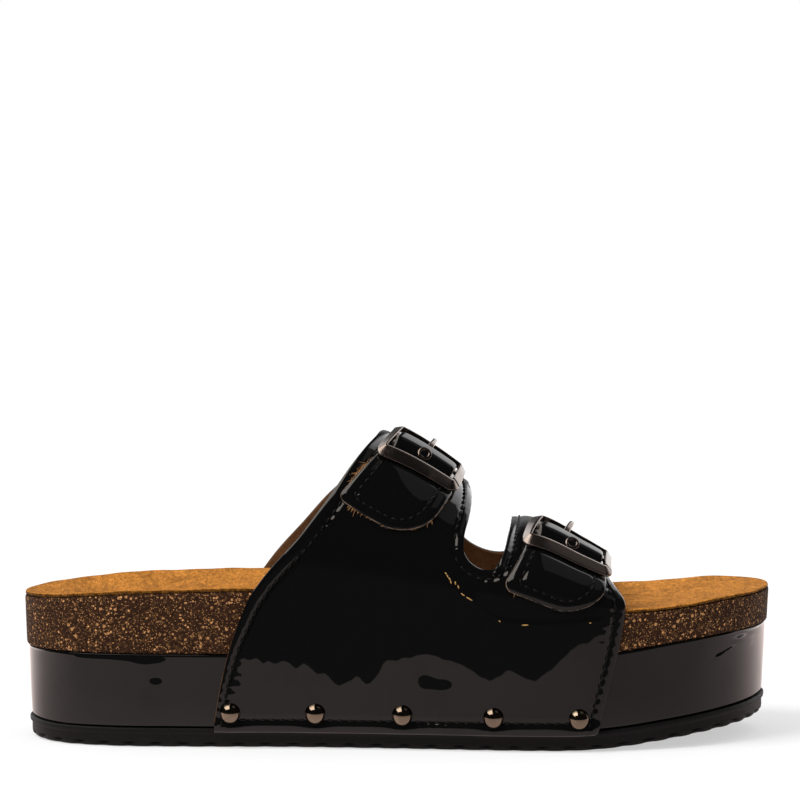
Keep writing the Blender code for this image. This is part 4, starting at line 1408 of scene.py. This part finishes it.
class SANDAL_OT_footbed(Operator):
    """Cork footbed with worn edges and a dished top"""

    bl_idname = "sandal.footbed"
    bl_label = "Cork footbed"

    def execute(self, context):
        count = SOLE_POINTS_PER_SIDE
        rings = []
        for scale, share, tuck in FOOTBED_SIDE_RINGS:
            plan = sole_ring(count, scale, CORK_BOTTOM_INSET * (1.0 - share) + tuck)
            low = platform_top(plan[:, 0]) + FIT_GAP
            rings.append(level_ring(plan, low + share * (cork_rim(plan[:, 0]) - low)))
        for scale in FOOTBED_DISH_SCALES:
            plan = sole_ring(count, scale, 0.0)
            rings.append(level_ring(plan, footbed_height(plan, scale)))
        add_closed_piece(context, "cork_footbed", np.stack(rings), "cork", "brown_cork", "footbed_cork")
        return {"FINISHED"}


class SANDAL_OT_insole(Operator):
    """Suede insole in the dish of the footbed, with a cut edge that waves a little"""

    bl_idname = "sandal.insole"
    bl_label = "Suede insole"

    def mark_edge_shade(self, mesh):
        """Attribute "raw", where the suede is painted dark as shade: 1 where the surface faces sideways or
        down,
        0 where it faces up.
        """
        facing = np.empty(len(mesh.vertices) * 3, np.float32)
        mesh.vertex_normals.foreach_get("vector", facing)
        raw = mesh.attributes.new("raw", "FLOAT", "POINT")
        raw.data.foreach_set("value", np.clip((EDGE_SHADE_FACING - facing[2::3]) / EDGE_SHADE_SOFTNESS, 0.0, 1.0))

    def execute(self, context):
        under = [(scale, 0.0) for scale in INSOLE_UNDER_SCALES]
        face = [(scale, 1.0) for scale in INSOLE_FACE_SCALES]
        rings = []
        for scale, share in (*under, *INSOLE_EDGE_RINGS, *face):
            plan = sole_ring(SOLE_POINTS_PER_SIDE, scale, INSOLE_INSET)
            wave = waves(INSOLE_WAVES, plan[:, 0], plan[:, 1]) * scale ** INSOLE_WAVE_POWER
            height = footbed_height(plan, scale) + FIT_GAP + share * (INSOLE_THICKNESS + wave)
            rings.append(level_ring(plan, height))
        mesh = grid_mesh("suede_insole", np.stack(rings), wrap=True, merge=True)
        self.mark_edge_shade(mesh)
        add_piece(context, "suede_insole", mesh, "suede", "tan_suede", "insole_suede")
        return {"FINISHED"}


def stitch_depth(points, sizes):
    """How far the stitching pulls the upper's skin in: a groove along the seams with a dimple at each
    stitch, bell-shaped in the distance from the nearest seam."""
    fine = sizes.stitch_pitch / MM / SAMPLES_PER_STITCH
    seams = []
    phase = []
    for x, q in upper_stitch_lines(sizes.stitch_inset / MM):
        seam_x, seam_q = spread_along(x, q, fine)
        seams.append(upper_surface(seam_x, seam_q, np.full(len(seam_x), UPPER_WALL)))
        phase.append(np.arange(len(seam_x)) / SAMPLES_PER_STITCH)
    gap, number = nearest(points, np.vstack(seams))
    ripple = np.cos(2 * np.pi * np.concatenate(phase)[number])
    groove = sizes.groove / MM
    dimple = DIMPLE_SHARE * groove * ripple * swell(gap, 0.0, DIMPLE_WIDTH)
    return groove * swell(gap, 0.0, SEAM_WIDTH) - dimple


class SANDAL_OT_upper(Operator):
    """Patent skin and tan lining of the upper, with creases, rolled edges and the pull of the stitching"""

    bl_idname = "sandal.upper"
    bl_label = "Upper"

    def execute(self, context):
        x, q, keep = upper_grid(SKIN_TRIM, **SKIN_GRID)
        seat = upper_surface(x, q, np.full(x.shape, UPPER_WALL))
        gap_x, gap_q = notch_loop(GAP_POINTS)
        gap_line = upper_surface(gap_x, gap_q, np.full(len(gap_x), UPPER_WALL))
        rim = np.minimum(np.abs(x - edge_at(q, 1)), np.abs(edge_at(q, 4) - x))
        rim = np.minimum(rim, nearest(seat, gap_line)[0])
        height = seat[..., 2] - UPPER_BOTTOM - ground(x)
        roll = EDGE_ROLL * (np.exp(-(rim - SKIN_TRIM) / EDGE_ROLL_WIDTH) + np.exp(-height / EDGE_ROLL_WIDTH))
        crest = HEM_CREST - HEM_DIP * sum(swell(x, place, HEM_DIP_LENGTH) for place in STUD_PLACES)
        hem = HEM_FLARE * swell(height, crest, HEM_HEIGHT)
        lift = UPPER_WALL + hem - roll - stitch_depth(seat, context.scene.sandal_sizes)
        skin = grid_mesh("patent_upper", upper_surface(x, q, lift), keep)
        add_wall(add_piece(context, "patent_upper", skin, "patent", "black_patent", "upper"),
                 SKIN_THICKNESS, -1.0)
        x, q, keep = upper_grid(LINING_TRIM, **LINING_GRID)
        q = q * np.where(np.abs(q) > WALL_SHARE, 1.0 - LINING_SHORT * (np.abs(q) - WALL_SHARE), 1.0)
        inner = grid_mesh("upper_lining", upper_surface(x, q, np.zeros(x.shape)), keep)
        add_wall(add_piece(context, "upper_lining", inner, "lining", "tan_suede"), LINING_THICKNESS, 1.0)
        return {"FINISHED"}


class SANDAL_OT_tabs(Operator):
    """Buckle tabs: a puffed patent face with a sewn line over a raw tan backing"""

    bl_idname = "sandal.tabs"
    bl_label = "Buckle tabs"

    def face_lift(self, across, along, seam, groove):
        """Height of the face over the strap: hump and thickness, a puff inside the edge, the edge rolled
        down and a groove along the seam."""
        flat = np.stack([across, along], axis=-1)
        edge = np.vstack([flat[:, 0], flat[-1], flat[::-1, -1], flat[0]])
        to_edge = nearest(flat, edge)[0]
        body = np.clip((along - FRAME_DEPTH / 2) / TAB_PUFF_START, 0.0, 1.0)
        roll = EDGE_ROLL * np.exp(-to_edge / EDGE_ROLL_WIDTH)
        puff = TAB_PUFF * body * (1.0 - np.exp(-to_edge / TAB_PUFF_EDGE))
        pull = TAB_GROOVE_SHARE * groove * swell(nearest(flat, seam)[0], 0.0, SEAM_WIDTH)
        return FIT_GAP + hump(along) + TAB_THICKNESS - roll + puff - pull

    def execute(self, context):
        groove = context.scene.sandal_sizes.groove / MM
        for name, strap in STRAPS.items():
            across, along = tab_grid(strap, TAB_TRIM, TAB_TRIM, **TAB_FACE_GRID)
            lift = self.face_lift(across, along, tab_seam(strap), groove)
            face = grid_mesh(f"{name}_tab", strap_point(strap, across, along, lift)[::-1])
            piece = add_piece(context, f"{name}_tab", face, "patent", "black_patent", f"{name}_buckle_tab")
            add_wall(piece, TAB_THICKNESS - TAB_BACKING, -1.0)
            across, along = tab_grid(strap, 0.0, 0.0, **TAB_BACKING_GRID)
            points = strap_point(strap, across, along, FIT_GAP + hump(along))[::-1]
            backing = grid_mesh(f"{name}_tab_backing", points)
            piece = add_piece(context, f"{name}_tab_backing", backing, "raw_edge", "tan_suede")
            add_wall(piece, TAB_BACKING, 1.0)
        return {"FINISHED"}


class SANDAL_OT_buckles(Operator):
    """Gunmetal buckle frames with centre bars, their prongs and the ringed holes"""

    bl_idname = "sandal.buckles"
    bl_label = "Buckles"

    def frame_points(self, strap):
        """Section with a flat slope to the outside, carried round a rounded rectangle on the strap. The near
        bar is wider and the far bar stands a little higher."""
        path, out = rounded_loop(FRAME_LENGTH / 2 - FRAME_BAR / 2, FRAME_DEPTH / 2 - FRAME_BAR / 2,
                                 FRAME_BEND, FRAME_BEND_POINTS)
        half_bar = FRAME_BAR / 2
        half_height = FRAME_THICKNESS / 2
        section = rounded_section(((-half_bar, -half_height), (half_bar, -half_height),
                                   (half_bar, FRAME_WALL - half_height), (FRAME_FLAT - half_bar, half_height),
                                   (-half_bar, half_height)))
        across = path[:, :1] + out[:, :1] * section[:, 0]
        near = NEAR_BAR_EXTRA * np.clip(out[:, 1:], 0.0, 1.0) * (section[:, 0] > 0)
        along = path[:, 1:] + out[:, 1:] * section[:, 0] + near
        far = np.clip(FAR_BAR_START - path[:, 1:] / FRAME_DEPTH * 2, 0.0, 1.0)
        lift = FRAME_LIFT + FRAME_THICKNESS / 2 + section[:, 1] + FAR_BAR_RISE * far
        return strap_point(strap, across, along, lift)

    def bar_points(self, strap):
        """Centre bar: a soft-cornered section carried from one end bar to the other."""
        reach = FRAME_LENGTH / 2 - FRAME_BAR / 2
        across = np.linspace(-reach, reach, CENTRE_BAR_ROWS)[:, None]
        section = bar_section(CENTRE_BAR / 2, FRAME_THICKNESS / 2 - CENTRE_BAR_LESS, CENTRE_BAR_SOFTNESS)
        size = np.where(np.abs(across) < reach, 1.0, 0.0)
        along = size * section[:, 0]
        lift = FRAME_LIFT + FRAME_THICKNESS / 2 + size * section[:, 1]
        return strap_point(strap, np.broadcast_to(across, along.shape), along, lift)

    def prong_points(self, strap):
        """Flattened pin with a round tip: section scaled by the square root of the way to its end."""
        way = np.linspace(0.0, 1.0, PRONG_ROWS)
        station = np.linspace(0.0, 1.0, len(PRONG_PATH))
        heights = column(PRONG_PATH, 1) + strap["tip_lift"] * column(PRONG_PATH, 2)
        along = blend(station, column(PRONG_PATH, 0), way)[:, None]
        size = np.sqrt(np.clip((1.0 - way) / PRONG_TIP, 0.0, 1.0)) * (1.0 - PRONG_TAPER * way)
        size[0] = 0.0
        size = size[:, None]
        section = bar_section(PRONG_HALF_WIDTH, PRONG_HALF_HEIGHT, PRONG_SOFTNESS)
        across = strap["prong"] + size * section[:, 0]
        lift = blend(station, heights, way)[:, None] + size * section[:, 1]
        return strap_point(strap, across, np.broadcast_to(along, across.shape), lift)

    def eyelet_points(self, strap):
        """Turned ring with a sunk middle, square to the near slope of the neck."""
        place = np.array([0.0, 1.0, -1.0, 0.0, 0.0])
        down = EYELET_PLACE + np.array([0.0, 0.0, 0.0, 1.0, -1.0])
        spots = strap_point(strap, place, down, FIT_GAP + hump(down) + TAB_THICKNESS)
        across = unit(spots[1] - spots[2])
        out = unit(np.cross(spots[4] - spots[3], across))
        out = out * np.sign(out[2])
        return turned_points(np.array(EYELET_PROFILE), EYELET_SEGMENTS, spots[0], across, out)

    def execute(self, context):
        for name, strap in STRAPS.items():
            pieces = (
                ("frame", self.frame_points, [f"{name}_buckle"]),
                ("centre_bar", self.bar_points, []),
                ("pin", self.prong_points, [f"{name}_prong"]),
                ("hole_ring", self.eyelet_points, [f"{name}_eyelet"]),
            )
            for part, points, nodes in pieces:
                add_closed_piece(context, f"{name}_{part}", points(strap), "buckle_plating", "gunmetal",
                                 *nodes)
        return {"FINISHED"}


class SANDAL_OT_studs(Operator):
    """Domed studs along the foot of both side panels"""

    bl_idname = "sandal.studs"
    bl_label = "Studs"

    def execute(self, context):
        radius = (STUD_RADIUS ** 2 + STUD_HEIGHT ** 2) / (2 * STUD_HEIGHT)
        angle = np.linspace(0.0, np.arcsin(STUD_RADIUS / radius), STUD_ROWS)
        dome = np.column_stack([radius * np.sin(angle), radius * (np.cos(angle) - 1.0) + STUD_HEIGHT])
        profile = np.vstack([dome, STUD_UNDERSIDE])
        for side, side_name in ((-1.0, "outer"), (1.0, "inner")):
            for number, x in enumerate(STUD_PLACES, start=1):
                spot = np.array([x]), np.array([side * STUD_GIRTH])
                out = upper_normal(*spot)[0]
                seat = last_surface(*spot)[0] + (UPPER_WALL + FIT_GAP) * out
                across = unit(np.cross(out, np.array([0.0, 0.0, 1.0])))
                points = turned_points(profile, STUD_SEGMENTS, seat, across, out)
                add_closed_piece(context, f"{side_name}_stud_{number}", points, "stud_plating", "gunmetal",
                                 f"stud_{side_name}_{number}")
        return {"FINISHED"}


def stitch_points(middles, directions, normals, length, thickness, dive):
    """Grid of points for many stitches: a round section that thins towards both ends and dives into the
    leather there. Axes of the result: stitch, station along it, point round its section, coordinate."""
    station = np.linspace(-1.0, 1.0, STITCH_STATIONS)
    angle = np.linspace(0.0, 2 * np.pi, STITCH_SIDES, endpoint=False)
    radius = thickness / 2 * np.sqrt(1.0 - STITCH_TAPER * station ** 4)
    directions = unit(directions - np.sum(directions * normals, axis=1, keepdims=True) * normals)
    beside = np.cross(normals, directions)
    rise = thickness * STITCH_RISE - dive * station ** 2
    path = station[:, None] * length / 2 * directions[:, None] + rise[:, None] * normals[:, None]
    spin = np.cos(angle)[:, None] * beside[:, None] + np.sin(angle)[:, None] * normals[:, None]
    return middles[:, None, None] + path[:, :, None] + radius[None, :, None, None] * spin[:, None]


def add_strands(context, name, points, finish, slot):
    """One piece of many like strands; each has the same faces, with the numbers moved on."""
    count, stations, sides = points.shape[:3]
    cells = grid_quads(stations, sides, True).reshape(-1, 4)
    quads = (np.arange(count)[:, None, None] * (stations * sides) + cells).reshape(-1, 4)
    add_piece(context, name, fill_mesh(name, points.reshape(-1, 3), quads, False), finish, slot)


class SANDAL_OT_stitching(Operator):
    """Stitches along the edges of the upper and round the buckle tabs"""

    bl_idname = "sandal.stitching"
    bl_label = "Stitching"

    def execute(self, context):
        sizes = context.scene.sandal_sizes
        pitch = sizes.stitch_pitch / MM
        thread = sizes.thread / MM
        sunk = STITCH_SUNK * sizes.groove / MM
        rows = []
        for x, q in upper_stitch_lines(sizes.stitch_inset / MM):
            x, q = spread_along(x, q, pitch)
            middles = upper_surface(x, q, np.full(len(x), UPPER_WALL - sunk))
            rows.append(stitch_points(middles, np.gradient(middles, axis=0), upper_normal(x, q),
                                      STITCH_LENGTH * pitch, thread, STITCH_DIVE))
        add_strands(context, "upper_stitches", np.concatenate(rows), "thread", "black_patent")
        for name, strap in STRAPS.items():
            seam = even_line(tab_seam(strap), TAB_STITCH_PITCH * pitch)
            across, along = seam.T
            lift = np.full(len(seam), FIT_GAP + TAB_THICKNESS + TAB_STITCH_PUFF * TAB_PUFF - sunk)
            middles = strap_point(strap, across, along, lift)
            normals = unit(middles - strap_point(strap, across, along, lift - 1.0))
            points = stitch_points(middles, np.gradient(middles, axis=0), normals,
                                   TAB_STITCH_LENGTH * pitch, thread, STITCH_DIVE)
            add_strands(context, f"{name}_tab_stitches", points, "thread", "black_patent")
        return {"FINISHED"}


class SANDAL_OT_painted_glints(Operator):
    """Short tan strokes along the crease: painted glints that stand in for warm reflections in its fine
    wrinkles
    """

    bl_idname = "sandal.cracks"
    bl_label = "Cracks"

    def execute(self, context):
        width = context.scene.sandal_sizes.painted_glint / MM
        girth = np.linspace(STRAP_GIRTH_INNER, STRAP_GIRTH_OUTER, STRAP_SAMPLES)
        cracks = []
        # Each stroke is a painted glint: a tan strand laid into the patent where its wrinkles would reflect
        # warm light
        for x, height, length, degrees in PAINTED_GLINTS:
            fall = last_surface(np.full(STRAP_SAMPLES, x), -girth)[:, 2]
            q = np.array([-np.interp(-height, -fall, girth)])
            place = np.array([x])
            middle = upper_surface(place, q, np.full(1, UPPER_WALL - PAINTED_GLINT_SUNK * width))
            angle = np.radians(degrees)
            heading = np.array([[np.cos(angle), 0.0, np.sin(angle)]])
            cracks.append(stitch_points(middle, heading, upper_normal(place, q), length, width,
                                        PAINTED_GLINT_DIVE * width))
        add_strands(context, "painted_glint_strokes", np.concatenate(cracks), "painted_glint", "tan_suede")
        return {"FINISHED"}


class SANDAL_OT_frays(Operator):
    """Loose tan fibres where the backing of the tabs has frayed"""

    bl_idname = "sandal.frays"
    bl_label = "Frayed fibres"

    def execute(self, context):
        chance = np.random.default_rng(FIBRE_SEED)
        station = np.linspace(0.0, 1.0, FIBRE_STATIONS)
        angle = np.linspace(0.0, 2 * np.pi, FIBRE_SIDES, endpoint=False)
        thickness = context.scene.sandal_sizes.fibre / MM
        tufts = []
        for name, across, along, spread, length, count in FRAYS:
            strap = STRAPS[name]
            outline = even_line(tab_outline(strap, 0.0, 0.0, FRAME_DEPTH / 2), OUTLINE_STEP)
            number = nearest(np.array([[across, along]]), outline)[1][0]
            picks = number + np.rint(chance.uniform(-spread, spread, count) / OUTLINE_STEP).astype(int)
            edge = outline[np.clip(picks, 0, len(outline) - 1)]
            away = unit(edge - outline.mean(axis=0))
            aside = np.column_stack([-away[:, 1], away[:, 0]])
            root = edge - FIBRE_ROOT * away
            lean = chance.uniform(-FIBRE_LEAN, FIBRE_LEAN, count)[:, None]
            reach = length * chance.uniform(FIBRE_SHORTEST, 1.0, count)[:, None, None]
            heading = unit(away + lean * aside)[:, None]
            curl = chance.uniform(-FIBRE_CURL, FIBRE_CURL, count)[:, None, None] * aside[:, None]
            flat = root[:, None] + station[:, None] * reach * (heading + station[:, None] * curl)
            lift = FIBRE_LIFT + FIBRE_RISE * station * chance.uniform(*FIBRE_RISE_RANGE, count)[:, None]
            centre = strap_point(strap, flat[..., 0], flat[..., 1], lift)
            out = unit(strap_point(strap, flat[..., 0], flat[..., 1], lift + 1.0) - centre)
            beside = np.cross(out, unit(np.gradient(centre, axis=1)))
            radius = thickness / 2 * (1.0 - FIBRE_TAPER * station)[None, :, None, None]
            spin = np.cos(angle)[:, None] * beside[:, :, None] + np.sin(angle)[:, None] * out[:, :, None]
            tufts.append(centre[:, :, None] + radius * spin)
        add_strands(context, "frayed_fibres", np.concatenate(tufts), "fibre", "tan_suede")
        return {"FINISHED"}


def card_points(corner, first, second):
    """Grid of a flat four-sided card, from one corner and its two edges."""
    corner, first, second = (np.array(vector, float) for vector in (corner, first, second))
    return np.array([[corner, corner + first], [corner + second, corner + first + second]])


def add_stage_piece(name, points, finish):
    """Piece of the stage over a grid of points in metres."""
    piece = bpy.data.objects.new(name, grid_mesh(name, points / MM))
    piece.data.materials.append(finish)
    bpy.context.scene.collection.objects.link(piece)
    return piece


def only_seen_in_gloss(piece):
    """Hides an object from everything but reflections."""
    for ray in ("camera", "diffuse", "transmission", "volume_scatter", "shadow"):
        setattr(piece, f"visible_{ray}", False)


def glow_material(name, tint, strength):
    """Plain light-giving surface."""
    made = bpy.data.materials.new(name)
    made.use_nodes = True
    tree = made.node_tree
    glow = tree.nodes.new("ShaderNodeEmission")
    glow.inputs["Color"].default_value = rgba(tint)
    glow.inputs["Strength"].default_value = strength
    tree.links.new(glow.outputs[0], tree.nodes["Material Output"].inputs["Surface"])
    return made


def add_light(name, kind, place, power):
    """Light that points from a place at the middle of the sandal and isn't seen in gloss."""
    lamp = bpy.data.lights.new(name, kind)
    lamp.energy = power
    light = bpy.data.objects.new(name, lamp)
    light.location = place
    heading = np.array(LIGHT_TARGET) - np.array(place)
    sideways = np.hypot(heading[0], heading[1])
    light.rotation_euler = (np.arctan2(sideways, -heading[2]), 0.0, np.arctan2(-heading[0], heading[1]))
    light.visible_glossy = False
    bpy.context.scene.collection.objects.link(light)
    return lamp


class SANDAL_OT_stage(Operator):
    """Pale floor, soft studio light and the camera"""

    bl_idname = "sandal.stage"
    bl_label = "Stage"

    def make_floor(self, studio):
        """White paper with some brightness of its own, which gloss doesn't see."""
        paper = start_material("paper", Base_Color=rgba(FLOOR_GREY), Roughness=FLOOR_ROUGHNESS,
                               Specular_IOR_Level=0.0, Emission_Color=rgba(WHITE),
                               Emission_Strength=studio.floor_glow)[0]
        add_stage_piece("floor", card_points(*FLOOR), paper).visible_glossy = False

    def make_sheet(self, studio):
        """White sheet that only gloss sees: straight in front of the heel, further forward past the ball of
        the foot, and brighter towards the heel and to the back."""
        edge = np.array(SHEET_EDGE)
        flat = np.stack([edge, edge * (1.0, 0.0) + (0.0, SHEET_BACK)])
        points = np.dstack([flat, np.full(flat.shape[:2], SHEET_LEVEL)])
        glow = glow_material("sheet", studio.sheet_tint, studio.sheet_glow)
        tree = glow.node_tree
        place = Wire(tree, tree.nodes.new("ShaderNodeTexCoord").outputs["Object"])
        along, depth = (place.node("ShaderNodeSeparateXYZ", {0: place}, output=axis) for axis in range(2))
        deeper = 1.0 + SHEET_BACK_GAIN * depth.maths("MAXIMUM", depth - SHEET_BACK_START, 0.0)
        toe = SHEET_TOE_GAIN * along.maths("MAXIMUM", along - SHEET_TOE_START, 0.0)
        fade = 1.0 - SHEET_FADE * along + toe
        place.feed(tree.nodes["Emission"].inputs["Strength"], studio.sheet_glow * fade * deeper)
        only_seen_in_gloss(add_stage_piece("white_sheet", points, glow))

    def make_cards(self, studio):
        """Cards that only gloss sees: a large window high on the left, and a dim card high on the right for
        the near bars of the buckles."""
        for name, corner, first, second, tint, glow in CARDS:
            finish = glow_material(name, tint, getattr(studio, glow))
            only_seen_in_gloss(add_stage_piece(name, card_points(corner, first, second), finish))

    def make_world(self, scene, studio):
        """Studio room by kind of ray: white for the camera, an even white dome for matt surfaces, and for
        gloss a room that is dark in front and above, with a dim wall behind the sandal and bright ones
        beside it."""
        world = bpy.data.worlds.new("studio")
        scene.world = world
        world.use_nodes = True
        tree = world.node_tree
        direction = Wire(tree, tree.nodes.new("ShaderNodeTexCoord").outputs["Generated"])
        path = tree.nodes.new("ShaderNodeLightPath")
        seen = Wire(tree, path.outputs["Is Camera Ray"])
        matt = Wire(tree, path.outputs["Is Diffuse Ray"])
        side, depth, height = (direction.node("ShaderNodeSeparateXYZ", {0: direction}, output=axis)
                               for axis in range(3))
        wall = depth.above(*BACK_WALL_DEPTH) * (1.0 - height.above(*BACK_WALL_TOP)) * studio.back_wall
        beside = side.maths("ABSOLUTE", side, 0.0).above(*SIDE_WALL_WIDTH) * depth.above(*SIDE_WALL_DEPTH)
        beside = beside * studio.side_wall * (1.0 - height.above(*CEILING))
        open_room = studio.dark * (1.0 - ROOM_SHADE * height.above(*HORIZON))
        room = open_room + wall.maths("MAXIMUM", wall, beside)
        backdrop = tree.nodes["Background"]
        direction.feed(backdrop.inputs["Strength"], seen + matt * studio.dome + (1.0 - seen - matt) * room)
        backdrop.inputs["Color"].default_value = rgba(WHITE)

    def make_camera(self, scene, studio):
        """Camera at the photograph's angle, level from side to side."""
        lens = bpy.data.cameras.new("camera")
        lens.lens = studio.lens
        lens.sensor_width = SENSOR_WIDTH
        lens.clip_end = VIEW_END
        camera = bpy.data.objects.new("camera", lens)
        camera.location = studio.camera_place
        camera.rotation_euler = (np.pi / 2 - studio.camera_tilt, 0.0, 0.0)
        scene.collection.objects.link(camera)
        scene.camera = camera

    def execute(self, context):
        scene = context.scene
        studio = scene.sandal_studio
        self.make_floor(studio)
        self.make_sheet(studio)
        self.make_cards(studio)
        self.make_world(scene, studio)
        add_light("key", "SUN", KEY_PLACE, studio.key_power).angle = studio.key_angle
        add_light("fill", "AREA", FILL_PLACE, studio.fill_power).size = FILL_SIZE
        self.make_camera(scene, studio)
        scene.view_settings.view_transform = "Standard"
        scene.view_settings.look = "None"
        return {"FINISHED"}


OPERATORS = (SANDAL_OT_outsole, SANDAL_OT_platform, SANDAL_OT_footbed, SANDAL_OT_insole, SANDAL_OT_upper,
             SANDAL_OT_tabs, SANDAL_OT_buckles, SANDAL_OT_studs, SANDAL_OT_stitching, SANDAL_OT_painted_glints,
             SANDAL_OT_frays, SANDAL_OT_stage)


class SANDAL_PT_pieces(Panel):
    """Lists the sandal's pieces and their settings"""

    bl_idname = "SANDAL_PT_pieces"
    bl_label = "Platform slide sandal"
    bl_space_type = "VIEW_3D"
    bl_region_type = "UI"
    bl_category = "Sandal"

    def draw(self, context):
        for operator in OPERATORS:
            self.layout.operator(operator.bl_idname)
        for group in (context.scene.sandal_sizes, context.scene.sandal_colours, context.scene.sandal_studio):
            box = self.layout.box()
            for name in group.__annotations__:
                box.prop(group, name)


GROUPS = {"sandal_sizes": SandalSizes, "sandal_colours": SandalColours, "sandal_studio": SandalStudio}
CLASSES = (*GROUPS.values(), *OPERATORS, SANDAL_PT_pieces)


def register():
    for made in CLASSES:
        bpy.utils.register_class(made)
    for name, group in GROUPS.items():
        setattr(bpy.types.Scene, name, PointerProperty(type=group))


def unregister():
    for name in GROUPS:
        delattr(bpy.types.Scene, name)
    for made in reversed(CLASSES):
        bpy.utils.unregister_class(made)


def main():
    """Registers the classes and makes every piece."""
    register()
    bpy.ops.sandal.outsole()
    bpy.ops.sandal.platform()
    bpy.ops.sandal.footbed()
    bpy.ops.sandal.insole()
    bpy.ops.sandal.upper()
    bpy.ops.sandal.tabs()
    bpy.ops.sandal.buckles()
    bpy.ops.sandal.studs()
    bpy.ops.sandal.stitching()
    bpy.ops.sandal.cracks()
    bpy.ops.sandal.frays()
    bpy.ops.sandal.stage()


if __name__ == "__main__":
    main()
